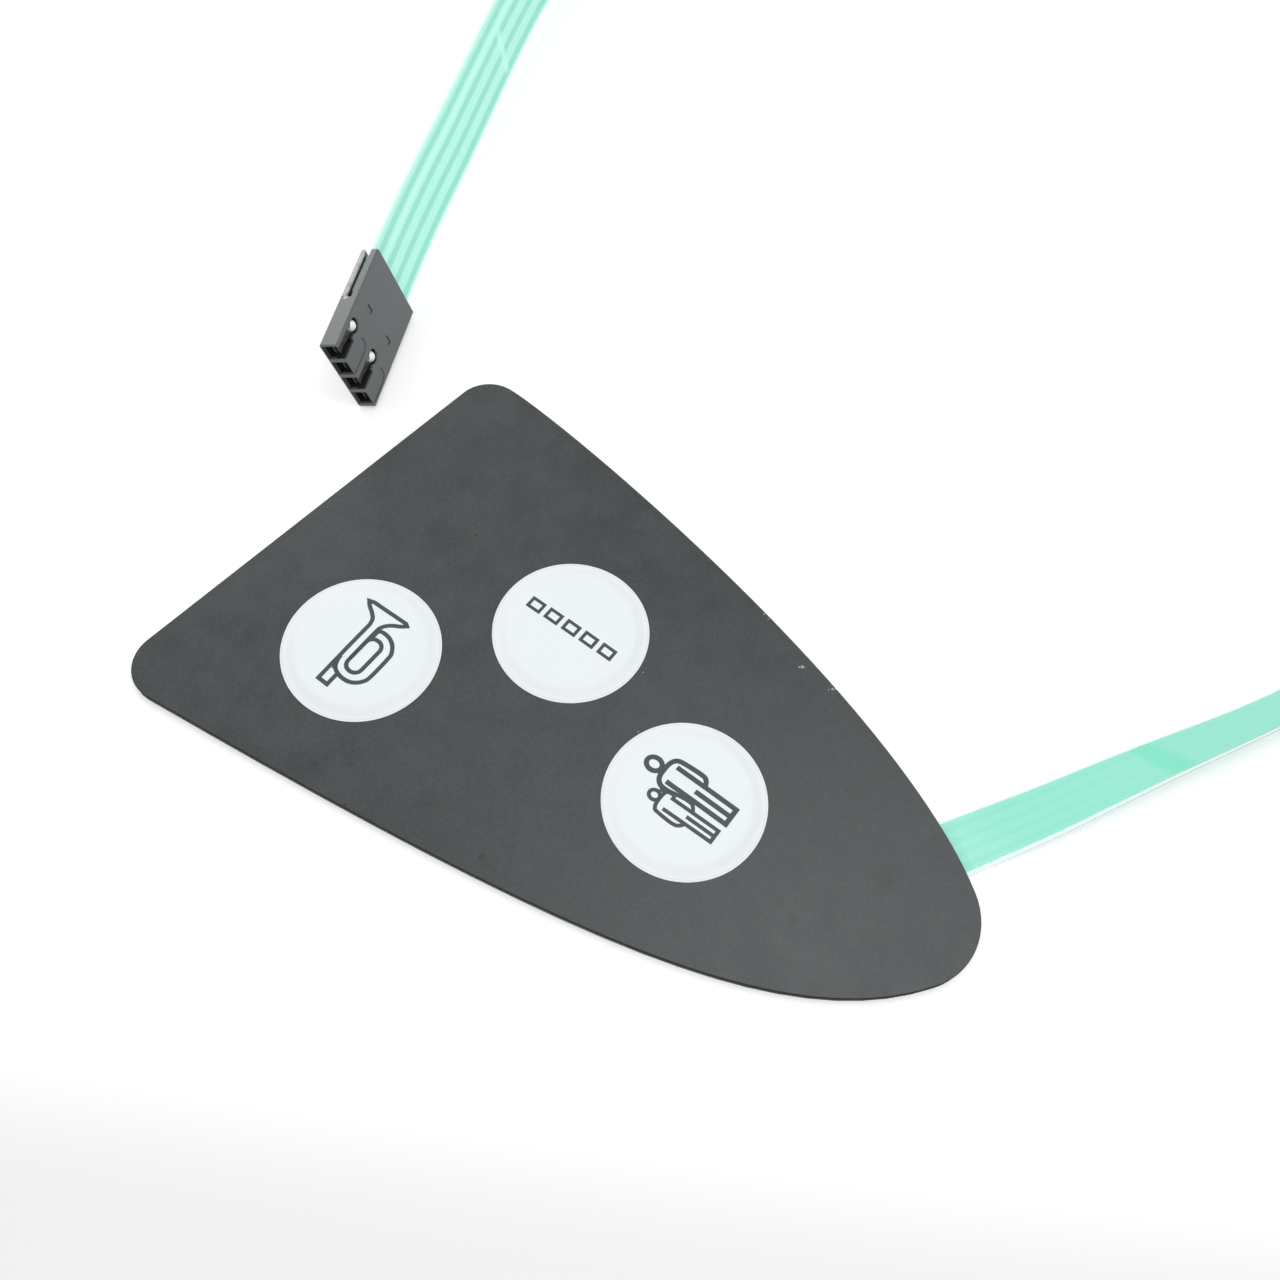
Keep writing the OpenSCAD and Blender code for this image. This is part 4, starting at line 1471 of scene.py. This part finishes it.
@dataclass
class Studio:
    """The camera, the soft lamps, the white surroundings and the floor."""

    camera_place: Place = (-41.09, -28.80, 115.59)
    camera_axes: tuple[Place, ...] = (
        (0.59929, -0.79909, 0.04803), (0.69714, 0.55044, 0.45937),
        (-0.39352, -0.24181, 0.88695))
    lens: float = 33.578
    sensor: float = 36.0
    clip: Point = (0.005, 20.0)
    lamps: tuple[Lamp, ...] = (
        Lamp("nose_lamp", (98, -64, 300), (0, -15, 0), 130, 0.15),
        Lamp("sheen_lamp", (50, 60, 300), (-10, 0, 0), 110, 0.03),
        Lamp("crest_lamp", (38, -20, 300), (0, 0, 0), 90, 0.05),
        Lamp("front_lamp", (-130, -110, 260), (0, 0, 0), 110, 0.24),
        Lamp("fill_lamp", (105, 265, 140), (0, 0, 0), 160, 0.25))
    world_light: float = 0.65
    floor_size: float = 1600.0
    floor_drop: float = 0.02
    painted_falloff_tones: Point = (0.75, 0.51)
    floor_fade: Point = (28.0, 51.0)
    fade_way: Place = (-0.86, -0.51, 0)
    floor_glow: float = 0.3
    floor_roughness: float = 0.9
    floor_specular: float = 0.1

    def _camera(self) -> None:
        """Sets the camera where the photograph was taken from."""
        data = bpy.data.cameras.new("camera")
        data.lens, data.sensor_width = self.lens, self.sensor
        data.clip_start, data.clip_end = self.clip
        made = new_object("camera", data)
        columns = (*self.camera_axes, [c * MM for c in self.camera_place])
        made.matrix_world = Matrix([*zip(*columns), (0, 0, 0, 1)])
        bpy.context.scene.camera = made

    def _surroundings(self) -> None:
        """Makes the world white to the eye and plainer as a light."""
        world = bpy.data.worlds.new("studio")
        bpy.context.scene.world = world
        world.use_nodes = True
        graph = Graph(world.node_tree)
        strength = graph.seen() * (1 - self.world_light) + self.world_light
        graph.fill(world.node_tree.nodes["Background"], {"Color": WHITE, "Strength": strength})

    def _floor(self) -> None:
        """Lays the pale floor, which renders white, keeps the shadow and darkens towards the
        camera's side in a painted falloff of light.
        """
        half = self.floor_size / 2
        corners = ((-half, -half), (half, -half), (half, half), (-half, half))
        piece = mesh_object("floor", [(*at, -self.floor_drop) for at in corners],
                            [(0, 1, 2, 3)])
        made, graph, shader = new_material("pale_floor")
        # Painted falloff of light: the floor's colour darkens past a soft edge towards the
        # camera's side
        ahead = graph.vector("DOT_PRODUCT", graph.place(), self.fade_way)
        falloff_tone = ahead.ramp(*(edge * MM for edge in self.floor_fade), *self.painted_falloff_tones)
        color = graph.add("ShaderNodeCombineColor", {0: falloff_tone, 1: falloff_tone, 2: falloff_tone})
        graph.fill(shader, {
            "Base Color": color, "Roughness": self.floor_roughness,
            "Specular IOR Level": self.floor_specular, "Emission Color": WHITE,
            "Emission Strength": graph.seen() * self.floor_glow})
        dress(piece, made)

    def build(self) -> None:
        """Sets up the whole studio."""
        bpy.context.scene.view_settings.view_transform = "Standard"
        self._camera()
        for lamp in self.lamps:
            lamp.hang()
        self._surroundings()
        self._floor()


@dataclass
class Laminate:
    """The films, domes and prints under the overlay, dressed as the CAD made them."""

    finishes: dict[str, Finish] = field(default_factory=lambda: {
        # The glue, retainer and spacer films are near black, partly as clear films under the dark
        # print look dark and partly as painted shade of the stack's side
        "overlay_adhesive": Finish("overlay_glue", linear(28, 30, 30), 0.7, mottle=0.06,
                                   specular=0.1),
        "dome_retainer": Finish("retainer_film", linear(26, 28, 29), 0.6, specular=0.1),
        "dome_spacer": Finish("spacer_film_dark", linear(28, 30, 30), 0.7, mottle=0.05,
                              specular=0.1),
        "horn_dome": Finish("dome_strip", (0.6, 0.6, 0.58, 1), 0.28, grain_scale=3000,
                            metallic=1.0),
        "rear_adhesive": Finish("rear_glue", linear(180, 182, 176), 0.7, mottle=0.05,
                                specular=0.1),
        "release_liner": Finish("release_paper", linear(238, 235, 226), 0.8, grain_scale=4000,
                                mottle=0.03, specular=0.1)})
    # Painted shade on the cut edges of the pale layers, for the stack's shaded side
    edges: dict[str, Color] = field(default_factory=lambda: {
        "rear_adhesive": linear(36, 38, 38), "release_liner": linear(70, 70, 69)})
    upright: float = 0.5

    def _paint_edge_shade(self, tint: Color, graph: Graph, color: Term) -> Term:
        """Paints shade on the cut edges of a film, which are its upright faces.

        Args:
            tint: the painted shade that the edges show.
            graph: the film's graph.
            color: its colour.

        Returns:
            The edged colour.
        """
        normal = graph.add("ShaderNodeNewGeometry", out="Normal")
        lean = graph.add("ShaderNodeSeparateXYZ", {0: normal}, "Z")
        return graph.mix(abs(lean).below(self.upright), color, tint)

    def dress(self, nodes: dict[str, Piece], effects: Effects, tab: Material) -> None:
        """Gives each hidden layer its finish.

        Args:
            nodes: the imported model's objects, by name.
            effects: the shared shader groups.
            tab: the circuit film's material, whose print runs on over its tab.
        """
        paints = {name: partial(self._paint_edge_shade, tint) for name, tint in self.edges.items()}
        made = {name: finish.material(effects, paints.get(name))
                for name, finish in self.finishes.items()}
        made["circuit_film"] = made["printed_circuit"] = tab
        made["level_dome"] = made["people_dome"] = made["horn_dome"]
        for name, material in made.items():
            dress(nodes[name], material)
            log.info("dressed %s", name)


@dataclass
class Connector:
    """The crimped connector: its housing, its cover and four contacts.

    Its own frame has x towards the mating face, y across towards the table and z out of the
    visible face, in millimetres.
    """

    tail: FilmTail
    moulding: Finish = Finish("connector_moulding", linear(84, 88, 89), 0.42, grain_scale=2500,
                              grain_depth=0.004)
    # The tin's near-black colour is painted shade for the contacts deep in the windows
    tin: Finish = Finish("contact_tin", (0.08, 0.08, 0.08, 1), 0.45, grain_scale=3000,
                         metallic=0.4, mottle=0.05)
    height: float = 5.307
    width: float = 10.4
    length: float = 15.0
    face: float = 1.25
    back: float = 1.15
    clamp: float = 7.6
    wall: float = 0.12
    contacts: int = 4
    button_foot: float = 0.74
    button_sunk: float = 0.2
    button_radius: float = 0.74
    button_crown: float = 1.33
    button_at: tuple[Point, ...] = ((10.8, -3.81), (10.8, 1.27))
    button_segments: tuple[int, int] = (32, 16)
    bevel: float = 0.05
    bevel_segments: int = 2
    bevel_angle: float = 35.0
    flat_angle: float = 1.0
    weld: float = 1e-7
    side_wall: float = 0.1
    shade_depths: Point = (0.12, 0.35)
    lip: float = 0.04
    edge_end: Point = (0.2, -0.4)
    streak_scale: float = 2.2
    streak_squash: float = 0.6
    streak_range: Point = (0.3, 0.55)
    streak_dark: float = 0.45
    mark_shift: Point = (0.1, -0.35)
    mark_spread: Point = (0.1, 0.4)
    mark_strength: float = 0.6
    tin_step: float = 0.06
    # painted shade for the cavities below the visible face
    inside: Color = linear(26, 27, 29)
    lit_edge: Color = linear(158, 159, 157)
    mark: Color = linear(222, 214, 192)
    # painted highlight on the buttons' crowns
    button: Color = linear(242, 242, 240)

    def _axes(self) -> tuple[Vector, Vector, Vector, Vector]:
        """Finds the connector's own frame.

        Returns:
            Its origin, in metres, and its three axes.
        """
        end, before = Vector(self.tail.route[-1]), Vector(self.tail.route[-2])
        lean = math.radians(self.tail.stand_angle)
        ahead = (end - before).normalized().to_3d()
        out = Vector((-ahead.y * math.sin(lean), ahead.x * math.sin(lean), math.cos(lean)))
        return Vector((end.x, end.y, self.height)) * MM, ahead, out.cross(ahead), out

    def _frame(self) -> Tree:
        """Builds the group that gives a point's place in the connector's own frame.

        Returns:
            The group's tree.
        """
        group = Group("connector_frame", SHADER, {
            "Origin": (0, 0, 0), "Along": (1, 0, 0), "Across": (0, 1, 0), "Out": (0, 0, 1)},
            {"X": "Float", "Y": "Float", "Z": "Float"})
        away = group.vector("SUBTRACT", group.place(), group.given["Origin"])
        return group.give({name: group.vector("DOT_PRODUCT", away, group.given[axis]) / MM
                           for name, axis in (("X", "Along"), ("Y", "Across"), ("Z", "Out"))})

    def _placed(self, graph: Graph, tree: Tree) -> tuple[Term, Term, Term]:
        """Adds the frame's group to a material.

        Args:
            graph: the material's graph.
            tree: the frame's group.

        Returns:
            The three coordinates, in millimetres.
        """
        frame = graph.use(tree, dict(zip(("Origin", "Along", "Across", "Out"), self._axes())))
        return frame["X"], frame["Y"], frame["Z"]

    def _shade(self, tree: Tree, graph: Graph, color: Term) -> Term:
        """Paints shade into the moulding's cavities and a highlight along the cover's narrow edge.

        Args:
            tree: the frame's group.
            graph: the moulding's graph.
            color: its colour.

        Returns:
            The shaded colour.
        """
        x, y, z = self._placed(graph, tree)
        half = self.width / 2
        # Painted shade: the cavities below the visible face are darkened where shade falls
        cavity_shade_mask = (abs(y).below(half - self.side_wall)
                  * z.ramp(*(self.face - depth for depth in self.shade_depths))
                  * z.above(self.wall - self.back) * x.below(self.length - self.lip))
        color = graph.mix(cavity_shade_mask, color, self.inside)
        streaks = graph.noise(graph.xyz(x * self.streak_squash, z), self.streak_scale)
        edge = (y.below(self.wall - half) * z.below(0.0)
                * x.ramp(*(self.clamp + shift for shift in self.edge_end))
                * streaks.ramp(*self.streak_range, self.streak_dark, 1.0))
        color = graph.mix(edge, color, self.lit_edge)
        ahead, height = self.mark_shift
        off = graph.vector("DISTANCE", graph.xyz(x, y, z), (self.clamp + ahead, -half, height))
        spot = off.ramp(*self.mark_spread, self.mark_strength, 0.0)
        return graph.mix(spot, color, self.mark)

    def _paint_button_highlight(self, tree: Tree, graph: Graph, color: Term) -> Term:
        """Paints a highlight on the contacts' buttons, whose tin is elsewhere painted dark as
        shade.

        Args:
            tree: the frame's group.
            graph: the tin's graph.
            color: its colour.

        Returns:
            The brightened colour.
        """
        # Painted highlight: the buttons' crowns turn almost white above their foot
        z = self._placed(graph, tree)[2]
        lit = z.ramp(self.button_foot, self.button_foot + self.tin_step)
        return graph.mix(lit, color, self.button)

    def _eased(self, source: Piece, name: str, material: Material) -> Piece:
        """Copies a moulded solid with its edges slightly rounded.

        Args:
            source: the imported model's solid.
            name: the copy's name.
            material: its finish.

        Returns:
            The finished piece.
        """
        mesh = source.data.copy()
        shape = bmesh.new()
        shape.from_mesh(mesh)
        bmesh.ops.remove_doubles(shape, verts=shape.verts, dist=self.weld)
        bmesh.ops.dissolve_limit(shape, angle_limit=math.radians(self.flat_angle),
                                 verts=shape.verts, edges=shape.edges)
        shape.to_mesh(mesh)
        shape.free()
        piece = new_object(name, mesh)
        edge = piece.modifiers.new("edges", "BEVEL")
        edge.width = self.bevel * MM
        edge.segments = self.bevel_segments
        edge.limit_method = "ANGLE"
        edge.angle_limit = math.radians(self.bevel_angle)
        edge.harden_normals = True
        return finish_piece(baked(piece, material), "connector", source.name)

    def _button(self, name: str, at: Point, tin: Material) -> Piece:
        """Builds the round crown of a contact's button.

        Args:
            name: the piece's name.
            at: its middle in the connector's frame.
            tin: its finish.

        Returns:
            The finished piece.
        """
        origin, *axes = self._axes()
        foot = self.button_foot - self.button_sunk
        size = (self.button_radius, self.button_radius, self.button_crown - foot)
        shape = bmesh.new()
        around, upwards = self.button_segments
        bmesh.ops.create_uvsphere(shape, u_segments=around, v_segments=upwards, radius=1.0)
        below = [v for v in shape.verts if v.co.z < -TINY]
        bmesh.ops.delete(shape, geom=below, context="VERTS")
        rim = [e for e in shape.edges if e.is_boundary]
        disc = bmesh.ops.contextual_create(shape, geom=rim)["faces"]
        shape.transform(
            Matrix.Translation(origin) @ Matrix(axes).transposed().to_4x4() @ Matrix.Scale(MM, 4)
            @ Matrix.Translation((*at, foot)) @ Matrix.Diagonal((*size, 1)))
        for face in shape.faces:
            face.smooth = face not in disc
        bmesh.ops.recalc_face_normals(shape, faces=shape.faces)
        return finish_piece(shape_object(name, shape, tin), "tin")

    def build(self, nodes: dict[str, Piece], effects: Effects) -> list[Piece]:
        """Dresses the connector.

        Args:
            nodes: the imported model's objects, by name.
            effects: the shared shader groups.

        Returns:
            Its visible pieces.
        """
        tree = self._frame()
        moulding = self.moulding.material(effects, partial(self._shade, tree))
        tin = self.tin.material(effects, partial(self._paint_button_highlight, tree))
        pieces = [self._eased(nodes["connector_housing"], "housing_moulding", moulding),
                  self._eased(nodes["connector_cover"], "cover_moulding", moulding)]
        for number in range(1, self.contacts + 1):
            contact = nodes[f"contact_{number}"]
            dress(contact, tin)
            pieces.append(contact)
        return pieces + [self._button(f"button_{number}", at, tin)
                         for number, at in enumerate(self.button_at, 1)]


def main() -> None:
    """Builds the scene."""
    logging.basicConfig(level=logging.INFO, format="%(message)s")
    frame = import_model()
    nodes = frame["nodes"]
    effects = Effects()
    Studio().build()

    tail = FilmTail()
    connector = Connector(tail).build(nodes, effects)
    printing = TailPrint(tail)
    tail.build(printing.material(effects), connector)

    overlay = PrintedOverlay()
    film = Finish("dark_printed_film", linear(41, 47, 48), 0.4, grain_scale=4000,
                  grain_depth=0.03, mottle=0.5, uneven=0.2)
    field_white = Finish("key_field_white", linear(222, 227, 228), 0.55, grain_scale=1800,
                         grain_depth=0.003, mottle=0.008, specular=0.3)
    cut = Finish("die_cut_edge", linear(22, 24, 25), 0.6, mottle=0.08, specular=0.1)
    sheet = overlay.build(film.material(effects, partial(overlay.wear, effects)),
                          field_white.material(effects, partial(overlay.key_lines, effects)),
                          cut.material(effects))
    ink = Finish("symbol_ink", linear(48, 58, 58), 0.5, mottle=0.06).material(effects)
    KeySymbols().build(SymbolInk(sheet, ink))
    Laminate().dress(nodes, effects, printing.tab_material(effects))


if __name__ == "__main__":
    main()
